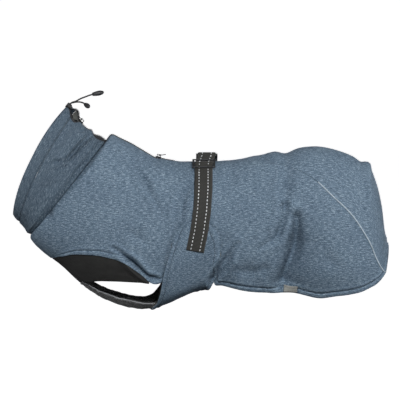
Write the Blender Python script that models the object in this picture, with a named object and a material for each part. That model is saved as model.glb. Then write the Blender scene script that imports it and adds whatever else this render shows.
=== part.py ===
"""A dog's winter coat, filled out as if worn, with no wearer.

The neck points to -X, the tail to +X, the coat's left side to -Y and its back up +Z.
The origin lies on the back, under the belly strap. Tables are in millimetres.
"""

from collections import namedtuple
from math import cos, pi, radians, sin

import bmesh
import bpy
import numpy as np
from mathutils import Matrix

MM = 0.001
WALL = 2.0  # softshell with its fleece lining
THIN_WALL = 1.6  # stretch cloth of the chest
SEAM_GAP = 0.3
LAP_GAP = 0.8  # between a piece and the panel that it lies on
ZIP_HALF_WIDTH = 4.5  # from the centre back to the cloth's edge
WEBBING_WIDTH = 25.0
WEBBING_THICKNESS = 1.2
CORD_DIAMETER = 2.2
PIPING_DIAMETER = 1.8
BOXINESS = 0.85  # below 1 the lower half of a section is fuller than an ellipse

LEFT = -1
RIGHT = 1

# Each section runs from the ridge to the keel, as seen from the side. half_width is its greatest
# one, found at the fraction widest_at of the way down. swell moves the flanks forward. The cloth's
# lower edge is at the fraction edge_at, the rump's seam at seam_at, the leg hole's top at leg_at.
Section = namedtuple(
    "Section", "ridge_x ridge_z keel_x keel_z half_width widest_at swell edge_at seam_at leg_at"
)
BODY = [
    Section(-130, 33, -238, -102, 52, 0.50, 0, 1.000, 0, 1),
    Section(-123, 39, -232, -110, 58, 0.52, 0, 1.000, 0, 1),
    Section(-112, 34, -220, -123, 62, 0.53, 0, 1.000, 0, 1),
    Section(-102, 29, -209, -134, 65, 0.54, 0, 0.995, 0, 1),
    Section(-94, 25, -192, -149, 67, 0.54, 0, 0.858, 0, 1),
    Section(-84, 19, -169, -171, 69, 0.55, 0, 0.752, 0, 0.965),
    Section(-74, 13, -147, -186, 70, 0.55, 0, 0.706, 0, 0.881),
    Section(-63, 7, -122, -197, 71, 0.55, 0, 0.692, 0, 0.828),
    Section(-52, 5, -97, -203, 71, 0.55, 0, 0.735, 0, 0.807),
    Section(-41, 3, -71, -205, 71, 0.55, 0, 0.797, 0, 0.800),
    Section(-28, 1, -50, -198, 71, 0.55, 0, 0.807, 0, 0.8),
    Section(-14, 1, -28, -188, 71, 0.55, 0, 0.850, 0, 0.8),
    Section(1, 1, -6, -179, 70, 0.55, 0, 0.895, 0, 0.8),
    Section(18, 1, 15, -176, 70, 0.55, 0, 0.925, 0, 0.8),
    Section(36, 2, 35, -193, 71, 0.56, 0, 0.871, 0, 0.8),
    Section(56, 4, 56, -206, 73, 0.57, 0, 0.840, 0, 0.8),
    Section(77, 9, 77, -213, 75, 0.58, 0, 0.828, 0, 0.8),
    Section(98, 13, 99, -218, 77, 0.59, 0, 0.820, 0.028, 0.8),
    Section(119, 13, 122, -221, 78, 0.60, 0, 0.817, 0.060, 0.8),
    Section(140, 20, 145, -224, 79, 0.60, 0, 0.822, 0.118, 0.8),
    Section(161, 22, 168, -228, 79, 0.60, 0, 0.822, 0.175, 0.8),
    Section(182, 19, 189, -225, 78, 0.60, 0, 0.819, 0.249, 0.8),
    Section(202, 13, 208, -221, 75, 0.60, 0, 0.820, 0.315, 0.8),
    Section(218, 6, 223, -216, 71, 0.60, 0, 0.820, 0.392, 0.8),
    Section(234, -1, 236, -205, 66, 0.60, 0, 0.830, 0.516, 0.8),
    Section(244, -22, 245, -198, 62, 0.60, 0, 0.814, 0.609, 0.8),
    Section(253, -55, 250, -195, 58, 0.58, 0, 0.745, 0.618, 0.8),
    Section(258, -90, 253, -189, 54, 0.55, 0, 0.650, 0.575, 0.8),
    Section(264, -119, 253, -178, 51, 0.52, 0, 0.536, 0.519, 0.8),
]
COLLAR = [
    Section(-186, 78, -262, -73, 50, 0.50, 12, 1, 0, 1),
    Section(-176, 69, -253, -84, 51, 0.50, 8, 1, 0, 1),
    Section(-168, 58, -248, -90, 53, 0.50, 7, 1, 0, 1),
    Section(-160, 49, -245, -94, 53, 0.50, 5, 1, 0, 1),
    Section(-153, 43, -243.5, -96.5, 53, 0.50, 3, 1, 0, 1),
    Section(-147, 37, -242, -98, 52, 0.50, 2, 1, 0, 1),
    Section(-139, 34, -240.5, -99.5, 51, 0.50, 1, 1, 0, 1),
    Section(-131.4, 33, -239, -101, 52, 0.50, 0, 1, 0, 1),
]
CHEST_FRONT = 3.05  # where the two side panels' edges leave the keel
CHEST_REAR = 5.0  # where the chest panel meets the strip
BIB_STATIONS = [3.12, 3.3, 3.6, 4.0, 4.5, CHEST_REAR]
TONGUE_STATIONS = [5.5, 6.0, 6.6, 7.2, 7.8, 8.3, 8.75]
ZIP_END = 9.6  # station of the zip's lower end
SEAM_APEX = 16.75  # where the rump's seam leaves the ridge
RUMP_STATIONS = [16.8, 16.95, 17.3] + [18 + step for step in range(10)] + [27.85]
TAIL = 28.0
CASING_STATIONS = [0.0, 0.35, 0.7, 0.98]
COLLAR_STATIONS = [1.02, 1.5, 2.0, 2.8, 3.6, 4.6, 5.4, 6.2, 7.0]
# How far the collar's left and right edges lie from the middle, where the open zip lets them part.
Opening = namedtuple("Opening", "station left right")
OPENING = [
    Opening(0.0, 4.5, 4.5),
    Opening(0.35, 6.5, 4.5),
    Opening(1.0, 15.0, 5.5),
    Opening(1.5, 13.5, 5.5),
    Opening(2.0, ZIP_HALF_WIDTH, ZIP_HALF_WIDTH),
]

# The belly band's edges: the station of its front and rear edge at a fraction of the way down.
Band = namedtuple("Band", "at front rear")
BAND = [
    Band(0.388, 11.55, 12.00),
    Band(0.400, 11.25, 12.20),
    Band(0.420, 10.85, 12.45),
    Band(0.450, 10.50, 12.80),
    Band(0.520, 10.18, 13.20),
    Band(0.600, 9.98, 13.48),
    Band(0.670, 9.83, 13.55),
    Band(0.770, 9.65, 13.38),
    Band(0.880, 9.58, 13.12),
    Band(0.950, 9.42, 12.95),
    Band(1.000, 9.05, 12.87),
]

# The strap's centre line, from the ridge to its sewn end on the band.
Strap = namedtuple("Strap", "at x")
STRAP = [
    Strap(0.00, 9.5),
    Strap(0.006, 6.6),
    Strap(0.05, 5.0),
    Strap(0.19, 5.0),
    Strap(0.35, 3.0),
    Strap(0.50, -1.0),
    Strap(0.67, -8.0),
]

# Folds as seen from the side: both ends, a bend between them, and the trough's width and depth.
Fold = namedtuple("Fold", "x0 z0 x1 z1 x2 z2 width depth")
FOLDS_LEFT = [
    Fold(126, -11, 120, -49, 100, -109, 11, 4.0),
    Fold(140, -65, 136, -105, 120, -159, 12, 5.0),
    Fold(52, -107, 40, -125, 28, -145, 9, 2.5),
    Fold(-108, 29, -88, -5, -62, -51, 12, 3.0),
    Fold(222, -7, 232, -29, 246, -51, 10, 2.0),
    Fold(-24, -17, -28, -45, -30, -71, 10, 1.6),
]
FOLDS_RIGHT = [
    Fold(118, -19, 116, -59, 98, -113, 12, 3.6),
    Fold(146, -59, 138, -101, 124, -153, 12, 4.4),
    Fold(48, -101, 38, -123, 24, -143, 10, 2.4),
    Fold(-104, 23, -86, -9, -66, -43, 12, 2.6),
    Fold(-22, -23, -26, -47, -30, -67, 10, 1.6),
]
FOLDS_COLLAR = [
    Fold(-158, 41, -174, 23, -196, 3, 9, 3.0),
    Fold(-200, -5, -190, -3, -180, 1, 7, 1.6),
]

BLUE = (0.130, 0.200, 0.280)
BLACK = (0.018, 0.018, 0.018)
BLACK_FLEECE = (0.040, 0.040, 0.042)
WEBBING_BLACK = (0.022, 0.022, 0.021)
PLASTIC_BLACK = (0.012, 0.012, 0.013)
PIPING_GREY = (0.520, 0.580, 0.620)
LABEL_GREY = (0.300, 0.290, 0.260)


def clear_scene():
    for thing in list(bpy.data.objects):
        bpy.data.objects.remove(thing, do_unlink=True)


def material(name, colour, roughness, metallic=0.0):
    made = bpy.data.materials.new(name)
    made.use_nodes = True
    shader = made.node_tree.nodes["Principled BSDF"]
    shader.inputs["Base Color"].default_value = (*colour, 1)
    shader.inputs["Roughness"].default_value = roughness
    shader.inputs["Metallic"].default_value = metallic
    made.diffuse_color = (*colour, 1)
    return made


def smooth(table, at):
    """A table's rows at a fractional row number, along a smooth curve through them."""
    rows = np.array(table, float)
    at = np.clip(np.asarray(at, float), 0, len(rows) - 1)
    first = np.minimum(at.astype(int), len(rows) - 2)
    part = (at - first)[..., None]
    slopes = np.gradient(rows, axis=0)
    begin, end = rows[first], rows[first + 1]
    leave, arrive = slopes[first], slopes[first + 1]
    return (
        begin * (2 * part**3 - 3 * part**2 + 1)
        + leave * (part**3 - 2 * part**2 + part)
        + end * (3 * part**2 - 2 * part**3)
        + arrive * (part**3 - part**2)
    )


def column(table, at, name):
    return smooth(table, at)[..., Section._fields.index(name)]


def angle(table, station, fraction):
    """The angle round a section, 0 on the ridge and pi on the keel, at a fraction of the way down."""
    widest = column(table, station, "widest_at")
    fraction = np.clip(fraction, 0, 1)
    above = np.arccos(np.clip(1 - fraction / widest, -1, 1))
    low = np.clip((fraction - widest) / (1 - widest), 0, 1)
    below = pi - np.arccos(low ** (1 / BOXINESS))
    return np.where(fraction < widest, above, below)


def angle_of_width(table, station, width, near_keel=False):
    """The angle round a section at a distance from the middle, by the ridge or by the keel."""
    share = np.clip(width / column(table, station, "half_width"), 0, 1)
    if near_keel:
        return pi - np.arcsin(share ** (1 / BOXINESS))
    return np.arcsin(share)


def plain_skin(table, station, turn, side):
    """Points of the coat's form, before its folds."""
    station, turn = np.broadcast_arrays(np.asarray(station, float), np.asarray(turn, float))
    row = smooth(table, station)
    ridge, keel = row[..., 0:2], row[..., 2:4]
    width, widest, swell = row[..., 4], row[..., 5], row[..., 6]
    low = turn > pi / 2
    bend = np.abs(np.cos(turn))
    across = np.abs(np.sin(turn))
    down = np.where(low, widest + (1 - widest) * bend**BOXINESS, widest * (1 - bend))
    out = np.where(low, across**BOXINESS, across)
    run = keel - ridge
    forward = np.stack([run[..., 1], -run[..., 0]], -1)
    forward = forward / np.linalg.norm(forward, axis=-1, keepdims=True)
    flat = ridge + down[..., None] * run + (swell * across**2)[..., None] * forward
    return np.stack([flat[..., 0], side * width * out, flat[..., 1]], -1)


def normals(table, station, turn, side):
    """Unit vectors that point out of the coat."""
    step = 0.02
    top = len(table) - 1
    before, after = np.clip(station - step, 0, top), np.clip(station + step, 0, top)
    upper, lower = np.maximum(turn - step, 0.002), np.minimum(turn + step, pi - 0.002)
    along = plain_skin(table, after, turn, side) - plain_skin(table, before, turn, side)
    round_ = plain_skin(table, station, lower, side) - plain_skin(table, station, upper, side)
    out = np.cross(along, round_) * side
    out = out / np.linalg.norm(out, axis=-1, keepdims=True)
    # At the neck seam both cloths end square to the seam, so that their walls don't cross.
    run = smooth(table, station)[..., 2:4] - smooth(table, station)[..., 0:2]
    run = run / np.linalg.norm(run, axis=-1, keepdims=True)
    square = np.stack([run[..., 1], np.zeros_like(run[..., 0]), -run[..., 0]], -1)
    from_seam = np.asarray(station if table is BODY else top - station, float)
    near = np.clip(1 - from_seam / 0.8, 0, 1)
    out = out - (near * (out * square).sum(-1))[..., None] * square
    return out / np.linalg.norm(out, axis=-1, keepdims=True)


def fold_depth(points, folds):
    """How far each point sinks into the folds."""
    depth = np.zeros(points.shape[:-1])
    place = points[..., [0, 2]]
    for fold in folds:
        corners = np.array([[fold.x0, fold.z0], [fold.x1, fold.z1], [fold.x2, fold.z2]], float)
        near = np.full(depth.shape, np.inf)
        along = np.zeros(depth.shape)
        for number in range(2):
            start, run = corners[number], corners[number + 1] - corners[number]
            part = np.clip(((place - start) @ run) / (run @ run), 0, 1)
            away = np.linalg.norm(place - start - part[..., None] * run, axis=-1)
            along = np.where(away < near, (number + part) / 2, along)
            near = np.minimum(near, away)
        fade = np.sin(pi * np.clip(0.08 + 0.84 * along, 0, 1))
        depth += fold.depth * fade * np.exp(-((near / (0.6 * fold.width)) ** 2))
    return depth


def skin(table, station, turn, side, lift=0.0):
    """Points of the coat's outer face, folds and all, moved out by lift."""
    points = plain_skin(table, station, turn, side)
    out = normals(table, station, turn, side)
    if table is COLLAR:
        sunk = fold_depth(points, FOLDS_COLLAR)
    else:
        sunk = fold_depth(points, FOLDS_LEFT if side == LEFT else FOLDS_RIGHT)
    return points + (lift - sunk)[..., None] * out


def both_sides(table, station, turn, lift=0.0):
    """As skin, with angles below zero on the left side and above it on the right."""
    left = skin(table, station, np.abs(turn), LEFT, lift)
    right = skin(table, station, np.abs(turn), RIGHT, lift)
    return np.where((np.asarray(turn) < 0)[..., None], left, right)


def add_object(name, points, faces, look, flat_angle=40):
    mesh = bpy.data.meshes.new(name)
    mesh.from_pydata([tuple(point) for point in np.asarray(points) * MM], [], faces)
    work = bmesh.new()
    work.from_mesh(mesh)
    bmesh.ops.recalc_face_normals(work, faces=work.faces)
    if work.calc_volume(signed=True) < 0:
        bmesh.ops.reverse_faces(work, faces=work.faces)
    work.to_mesh(mesh)
    work.free()
    mesh.shade_smooth()
    mesh.set_sharp_from_angle(angle=radians(flat_angle))
    mesh.materials.append(look)
    thing = bpy.data.objects.new(name, mesh)
    bpy.context.scene.collection.objects.link(thing)
    return thing


def wall(name, outer, inner, look, keep=None):
    """A closed wall between two grids of points. keep leaves out the grid's cells where it is false."""
    rows, columns = outer.shape[:2]
    if keep is None:
        keep = np.ones((rows - 1, columns - 1), bool)
    number = np.arange(rows * columns).reshape(rows, columns)
    cells = []
    edges = {}
    for row, column_ in zip(*np.nonzero(keep)):
        corners = [
            number[row, column_],
            number[row, column_ + 1],
            number[row + 1, column_ + 1],
            number[row + 1, column_],
        ]
        cells.append(corners)
        for start, end in zip(corners, corners[1:] + corners[:1]):
            if (end, start) in edges:
                del edges[(end, start)]
            else:
                edges[(start, end)] = True
    used = sorted({int(corner) for corners in cells for corner in corners})
    place = {corner: index for index, corner in enumerate(used)}
    count = len(used)
    points = np.concatenate([outer.reshape(-1, 3)[used], inner.reshape(-1, 3)[used]])
    faces = [[place[corner] for corner in corners] for corners in cells]
    faces += [[place[corner] + count for corner in reversed(corners)] for corners in cells]
    for start, end in edges:
        a, b = place[start], place[end]
        faces.append([b, a, a + count, b + count])
    return add_object(name, points, faces, look)


def grid_between(stations, upper, lower, rows):
    """Stations and angles of a grid whose columns are at the stations, spread between two edges."""
    part = np.linspace(0, 1, rows)[:, None]
    turns = upper[None, :] * (1 - part) + lower[None, :] * part
    return np.broadcast_to(stations, turns.shape), turns


def middle_gap(table, stations, near_keel=False):
    return angle_of_width(table, stations, SEAM_GAP / 2, near_keel)


def seam_angle(station):
    """The angle of the rump's seam, which leaves the ridge at its apex."""
    grown = np.clip((np.asarray(station, float) - SEAM_APEX) / 0.5, 0, 1)
    return angle(BODY, station, grown * column(BODY, station, "seam_at"))


def side_panel(name, side, look):
    """One side of the coat, from the zip or the rump's seam down to its lower edge."""
    stations = np.concatenate(
        [
            [0.03, 0.5],
            [1, 2, 3],
            BIB_STATIONS,
            TONGUE_STATIONS,
            [9.15, ZIP_END - 0.05, ZIP_END + 0.05],
            [10.3, 11, 11.8, 12.5, 13, 13.5, 14.1, 14.8, 15.6, 16.3, SEAM_APEX],
            RUMP_STATIONS,
        ]
    )
    zip_edge = angle_of_width(BODY, stations, ZIP_HALF_WIDTH)
    back_seam = middle_gap(BODY, stations)
    gusset = seam_angle(stations) + 0.006
    upper = np.where(stations < ZIP_END, zip_edge, back_seam)
    upper = np.where(stations > SEAM_APEX, np.maximum(gusset, back_seam), upper)
    keel = middle_gap(BODY, stations, near_keel=True)
    edge = np.minimum(angle(BODY, stations, column(BODY, stations, "edge_at")), keel)
    lower = np.where(stations < CHEST_FRONT, keel, edge)
    station, turn = grid_between(stations, upper, lower, 13)
    outer = skin(BODY, station, turn, side)
    inner = skin(BODY, station, turn, side, -WALL)
    return wall(name, outer, inner, look)


def rump_panel(look):
    """The gusset over the rump, between the two pipings, down to the hem over the tail."""
    stations = np.array(RUMP_STATIONS + [TAIL])
    half = seam_angle(stations) - 0.006
    share = np.linspace(-1, 1, 15)[:, None]
    turn = share * half[None, :]
    station = np.broadcast_to(stations, turn.shape)
    return wall(
        "rump_panel",
        both_sides(BODY, station, turn),
        both_sides(BODY, station, turn, -WALL),
        look,
    )


def collar_opening(station, side):
    reach = [row.left if side == LEFT else row.right for row in OPENING]
    return np.interp(station, [row.station for row in OPENING], reach)


def collar_part(name, stations, lift, thickness, look):
    """A stretch of the collar, from one edge of the zip round the throat to the other."""
    stations = np.array(stations)
    left_edge = angle_of_width(COLLAR, stations, collar_opening(stations, LEFT))
    right_edge = angle_of_width(COLLAR, stations, collar_opening(stations, RIGHT))
    share = np.linspace(-1, 1, 27)[:, None]
    edge = np.where(share < 0, left_edge, right_edge)
    turned = edge + (1 - np.abs(share)) * (pi - edge)
    turn = np.where(share < 0, -turned, turned)
    station = np.broadcast_to(stations, turn.shape)
    outer = both_sides(COLLAR, station, turn, lift)
    inner = both_sides(COLLAR, station, turn, lift - thickness)
    return wall(name, outer, inner, look)


def chest_panel(look):
    """The black front, closed over the keel, with a tongue over each leg hole."""
    front = np.array(BIB_STATIONS)
    stations = np.array(BIB_STATIONS + TONGUE_STATIONS)
    upper = angle(BODY, stations, column(BODY, stations, "edge_at")) + 0.008
    leg = angle(BODY, stations, column(BODY, stations, "leg_at"))
    split = np.where(stations <= CHEST_REAR, upper + (pi - upper) * 0.62, leg)
    at_rear = angle(BODY, CHEST_REAR, BODY[5].leg_at)
    reach = np.clip((front - front[0]) / (front[-1] - front[0]), 0, 1)
    split[: len(front)] = split[: len(front)] * (1 - reach) + at_rear * reach
    tongue_rows, keel_rows = 5, 4
    part = np.linspace(0, 1, tongue_rows)[:, None]
    high = upper[None, :] * (1 - part) + split[None, :] * part
    part = np.linspace(0, 1, keel_rows + 1)[1:, None]
    deep = split[None, :] * (1 - part) + pi * part
    half = np.concatenate([high, deep])
    turn = np.concatenate([-half, half[-2::-1]])
    station = np.broadcast_to(stations, turn.shape)
    keep = np.ones((turn.shape[0] - 1, turn.shape[1] - 1), bool)
    keep[tongue_rows - 1 : -(tongue_rows - 1), len(front) - 1 :] = False
    outer = both_sides(BODY, station, turn)
    inner = both_sides(BODY, station, turn, -THIN_WALL)
    return wall("chest_panel", outer, inner, look, keep)


def band_edges(fraction):
    at = [row.at for row in BAND]
    front = np.interp(fraction, at, [row.front for row in BAND])
    rear = np.interp(fraction, at, [row.rear for row in BAND])
    return front, rear


def chest_strip(look):
    """The strip between the forelegs, its edges curled up."""
    half_width = 28.0
    wide_end = 31.0
    curl = 7.0
    columns, rows = 13, 9
    part = np.linspace(0, 1, columns)[None, :]
    share = np.linspace(-1, 1, rows)[:, None]
    reach = half_width + (wide_end - half_width) * (np.abs(2 * part - 1) ** 3)
    middle = CHEST_REAR + (9.0 - CHEST_REAR) * part
    turn = angle_of_width(BODY, middle, np.abs(share) * reach, near_keel=True)
    fraction = 1 - 0.06 * share**2
    end = band_edges(fraction)[0] - 0.05
    station = CHEST_REAR + 0.012 + (end - CHEST_REAR - 0.012) * part
    signed = np.where(share < 0, -turn, turn)
    rise = curl * np.sin(pi * part) ** 0.6 * share**2
    outer = both_sides(BODY, station, signed)
    inner = both_sides(BODY, station, signed, -THIN_WALL)
    for points in (outer, inner):
        points[..., 2] += rise
    return wall("chest_strip", outer, inner, look)


def belly_band(look):
    """The band round the belly, round-ended on both flanks, outside the side panels."""
    down = np.array([0.388, 0.395, 0.405, 0.42, 0.45, 0.49, 0.54, 0.60, 0.66, 0.72, 0.78, 0.84, 0.90, 0.95, 0.985])
    fraction = np.concatenate([down, [1.0], down[::-1]])
    sign = np.concatenate([-np.ones(len(down) + 1), np.ones(len(down))])
    front, rear = band_edges(fraction)
    share = np.linspace(0, 1, 9)[None, :]
    station = front[:, None] * (1 - share) + rear[:, None] * share
    turn = angle(BODY, station, fraction[:, None]) * sign[:, None]
    outer = both_sides(BODY, station, turn, LAP_GAP + WALL)
    inner = both_sides(BODY, station, turn, LAP_GAP)
    return wall("belly_band", outer, inner, look)


def beside(table, stations, distances, side, lift):
    """Points of the skin at distances from the middle, by the ridge."""
    return skin(table, stations, angle_of_width(table, stations, distances), side, lift)


def zip_tape(name, side, look):
    """One tape of the centre-back zip, across the neck seam, at the open collar apart from its fellow."""
    sink, thickness, inner_edge = 0.4, 1.2, 0.4
    on_collar = np.array(COLLAR_STATIONS)
    on_collar[[0, -1]] += [0.04, -0.2]
    on_body = np.array([0.15, 0.6, 1.0, 1.6, 2.4, 3.2, 4.2, 5.2, 6.2, 7.2, 8.2, 9.0, ZIP_END - 0.12])
    outer, inner = [], []
    for table, stations in ((COLLAR, on_collar), (BODY, on_body)):
        if table is COLLAR:
            reach = collar_opening(stations, side)
        else:
            reach = np.full(len(stations), ZIP_HALF_WIDTH)
        far_edge = reach - SEAM_GAP
        near_edge = reach - ZIP_HALF_WIDTH + inner_edge
        distances = np.array([near_edge, far_edge])
        station = np.broadcast_to(stations, distances.shape)
        outer.append(beside(table, station, distances, side, -sink))
        inner.append(beside(table, station, distances, side, -sink - thickness))
    return wall(name, np.concatenate(outer, 1), np.concatenate(inner, 1), look)


def frame_on(table, station, turn, side, lift):
    """A frame on the skin: X towards the tail, Z out of the coat."""
    place = skin(table, np.float64(station), np.float64(turn), side, np.float64(lift))
    out = normals(table, np.float64(station), np.float64(turn), side)
    if turn == 0:
        place[1] = out[1] = 0
        out = out / np.linalg.norm(out)
    step = 0.2
    ahead = plain_skin(table, station + step, turn, side) - plain_skin(table, station - step, turn, side)
    if turn == 0:
        ahead[1] = 0
    ahead = ahead - (ahead @ out) * out
    ahead = ahead / np.linalg.norm(ahead)
    across = np.cross(out, ahead)
    axes = Matrix([list(row) for row in np.array([ahead, across, out]).T]).to_4x4()
    return Matrix.Translation([float(value) * MM for value in place]) @ axes


def block(name, lows, highs, look, bevel=0.3):
    """A box between two corners, in millimetres, with eased edges."""
    (x0, y0, z0), (x1, y1, z1) = lows, highs
    grid = np.array([[[x0, y0, z1], [x1, y0, z1]], [[x0, y1, z1], [x1, y1, z1]]], float)
    under = grid.copy()
    under[..., 2] = z0
    thing = wall(name, grid, under, look)
    if bevel:
        ease(thing, bevel)
    return thing


def ease(thing, width):
    edges = thing.modifiers.new("eased edges", "BEVEL")
    edges.width = width * MM
    edges.segments = 1
    edges.limit_method = "ANGLE"


def combine(thing, other, operation):
    """Joins other to the thing, or cuts it out, and hides it."""
    step = thing.modifiers.new(other.name, "BOOLEAN")
    step.operation = operation
    step.object = other
    other.hide_render = True
    other.display_type = "WIRE"


def plate_with_slots(name, xs, ys, slots, top, bottom, look, bevel):
    """A plate on a grid of lines. slots lists the cells left open. top and bottom give a height for each y."""
    x, y = np.meshgrid(np.array(xs, float), np.array(ys, float))
    outer = np.stack([x, y, np.broadcast_to(np.array(top, float)[:, None], x.shape)], -1)
    inner = np.stack([x, y, np.broadcast_to(np.array(bottom, float)[:, None], x.shape)], -1)
    keep = np.ones((len(ys) - 1, len(xs) - 1), bool)
    for row, column_ in slots:
        keep[row, column_] = False
    thing = wall(name, outer, inner, look, keep)
    ease(thing, bevel)
    return thing


def lathe(name, profile, sides, look):
    """A turned body about Z. profile lists (radius, height), from the axis round to the axis again."""
    points, rings = [], []
    for radius, height in profile:
        if radius == 0:
            rings.append([len(points)])
            points.append((0, 0, height))
            continue
        rings.append(list(range(len(points), len(points) + sides)))
        for step in range(sides):
            turn = 2 * pi * step / sides
            points.append((radius * cos(turn), radius * sin(turn), height))
    faces = []
    for lower, upper in zip(rings, rings[1:]):
        for step in range(sides):
            after = (step + 1) % sides
            corners = [lower[step % len(lower)], lower[after % len(lower)]]
            corners += [upper[after % len(upper)], upper[step % len(upper)]]
            faces.append(list(dict.fromkeys(corners)))
    return add_object(name, points, faces, look)


def towards(direction, place):
    """A frame at a place in millimetres whose Z runs along the direction."""
    direction = np.array(direction, float)
    z = direction / np.linalg.norm(direction)
    x = np.cross([0, 1, 0], z)
    x = x / np.linalg.norm(x)
    y = np.cross(z, x)
    axes = Matrix([list(row) for row in np.array([x, y, z]).T]).to_4x4()
    return Matrix.Translation([value * MM for value in place]) @ axes


# The zip's sliders and pulls, in each slider's own frame: X along the zip, Z out of the coat.
SLIDER_TOP = 2.0
PULL_AXIS_HEIGHT = 1.05  # above the slider's top
PULL_THICKNESS = 1.0


def zip_slider(name, place, look):
    """A slider's body, with a bridge along it that the pull's crossbar hangs under."""
    body = block(name, (-4.2, -3.5, 0), (4.2, 3.5, SLIDER_TOP), look, 0.5)
    under, bar = 2.1, 0.9
    bridge = plate_with_slots(
        name + " bridge",
        [-2.7, -1.7, 1.7, 2.7],
        [-1.0, under, under + bar],
        [(0, 1)],
        [0.8] * 3,
        [-0.8] * 3,
        look,
        0.15,
    )
    bridge.matrix_world = place @ Matrix.Translation([0, 0, SLIDER_TOP * MM]) @ Matrix.Rotation(pi / 2, 4, "X")
    body.matrix_world = place
    combine(body, bridge, "UNION")
    return body


def zip_pull(name, place, raised, look):
    """A pull tab. Its origin is on its hinge, which runs across the zip."""
    half = PULL_THICKNESS / 2
    tab = plate_with_slots(
        name,
        [-0.5, 0.5, 3.9, 10.5],
        [-2.3, -1.25, 1.25, 2.3],
        [(1, 1)],
        [half] * 4,
        [-half] * 4,
        look,
        0.2,
    )
    hinge = Matrix.Translation([0, 0, (SLIDER_TOP + PULL_AXIS_HEIGHT) * MM])
    tab.matrix_world = place @ hinge @ Matrix.Rotation(-radians(raised), 4, "Y")
    return tab


# How far the strap's middle lies off the side panel's skin, beside the band and on it.
STRAP_ON_SIDE = 3.0
STRAP_ON_BAND = 4.3
MM_PER_RADIAN = 73.6  # round the body at the strap slider

# The strap's way through the slider: under its rails and over its bar.
OverGlide = namedtuple("OverGlide", "along lift")
OVER_GLIDE = [
    OverGlide(-11.5, 3.0),
    OverGlide(-8.6, 3.0),
    OverGlide(-5.0, 4.7),
    OverGlide(-2.1, 6.9),
    OverGlide(2.1, 6.9),
    OverGlide(5.0, 4.7),
    OverGlide(8.6, 3.0),
    OverGlide(11.5, 3.0),
]

# The strap slider and the clip buckle, in frames whose X runs along the coat.
GLIDE_TURN = radians(18.5)
GLIDE_LIFTS = (4.2, 5.8)
BUCKLE_TURN = radians(15)
BUCKLE_HALF_WIDTH = 15.0
BUCKLE_BAR = 23.0  # from the buckle's middle to each webbing bar
BUCKLE_BAR_HEIGHT = 5.0
BUCKLE_BAR_HALF = 1.5
SLOT = 3.6


def strap_slider(look):
    """The tri-glide: a frame with two slots, and the bar between them that the webbing crosses."""
    low, high = GLIDE_LIFTS
    glide = plate_with_slots(
        "strap_slider",
        [-16, -13.3, 13.3, 16],
        [-11, -8.6, -1.5, 1.5, 8.6, 11],
        [(1, 1), (3, 1)],
        [high] * 6,
        [low] * 6,
        look,
        0.4,
    )
    station = station_at_x(strap_x(0.04), GLIDE_TURN, LEFT)
    glide.matrix_world = frame_on(BODY, station, GLIDE_TURN, LEFT, 0)
    return glide


def buckle_frame():
    return frame_on(BODY, station_at_x(strap_x(0.0), BUCKLE_TURN, RIGHT), BUCKLE_TURN, RIGHT, 0)


def buckle_half(name, direction, look):
    """One half of the fastened clip buckle, from its middle to the bar that the webbing wraps."""
    bar_low = BUCKLE_BAR - BUCKLE_BAR_HALF
    lengths = [0.2, bar_low - SLOT - 5, bar_low - SLOT, bar_low, BUCKLE_BAR + BUCKLE_BAR_HALF]
    top = [9.2, 9.2, 8.2, 6.6, 6.6]
    bottom = [1.6, 1.6, 2.2, 3.4, 3.4]
    if direction < 0:
        lengths = [-length for length in reversed(lengths)]
        top, bottom = top[::-1], bottom[::-1]
    slot_row = 2 if direction > 0 else 1
    width = BUCKLE_HALF_WIDTH
    half = plate_with_slots(
        name, [-width, -13.1, 13.1, width], lengths, [(slot_row, 1)], top, bottom, look, 0.5
    )
    half.matrix_world = buckle_frame()
    return half


def strap_x(fraction):
    return np.interp(fraction, [row.at for row in STRAP], [row.x for row in STRAP])


def station_at_x(x, turn, side):
    """The station whose skin lies at x, for an angle round the section."""
    low = np.full(np.shape(x), 8.0)
    high = np.full(np.shape(x), 18.0)
    for _ in range(30):
        middle = (low + high) / 2
        ahead = plain_skin(BODY, middle, turn, side)[..., 0] < x
        low = np.where(ahead, middle, low)
        high = np.where(ahead, high, middle)
    return (low + high) / 2


def on_flank(turns, lifts, side, width, slant=0.0):
    """Points across a strap that runs round the body, and the directions out of the cloth there."""
    share = np.linspace(-0.5, 0.5, 4)[None, :]
    turns = np.asarray(turns, float)[:, None] + slant * share
    fraction = np.interp(turns[:, :1], TURN_SCALE, FRACTION_SCALE)
    x = strap_x(fraction) + width * share
    turns = np.broadcast_to(turns, x.shape)
    station = station_at_x(x, turns, side)
    middle = skin(BODY, station, turns, side, np.asarray(lifts, float)[:, None])
    return middle, normals(BODY, station, turns, side)


FRACTION_SCALE = np.linspace(0, 0.98, 60)
TURN_SCALE = angle(BODY, np.full(60, 12.2), FRACTION_SCALE)


def bar_wrap(side):
    """The webbing's middle line over a buckle bar, from the slot over the top and down outside."""
    frame = np.array(buckle_frame())
    outward = frame[:3, 1] * side
    bar = frame[:3, 3] / MM + outward * BUCKLE_BAR + frame[:3, 2] * BUCKLE_BAR_HEIGHT
    reach = BUCKLE_BAR_HALF + 1.1 + WEBBING_THICKNESS / 2
    turns = np.radians([188, 160, 125, 90, 55, 20, -15])
    away = np.cos(turns)[:, None] * outward + np.sin(turns)[:, None] * frame[:3, 2]
    line = bar + reach * away
    share = np.linspace(-0.5, 0.5, 4)
    middle = np.repeat(line[:, None, :], 4, axis=1)
    middle[..., 0] = strap_x(0.0) + WEBBING_WIDTH * share[None, :]
    out = np.repeat(away[:, None, :], 4, axis=1)
    return middle, out


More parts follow.
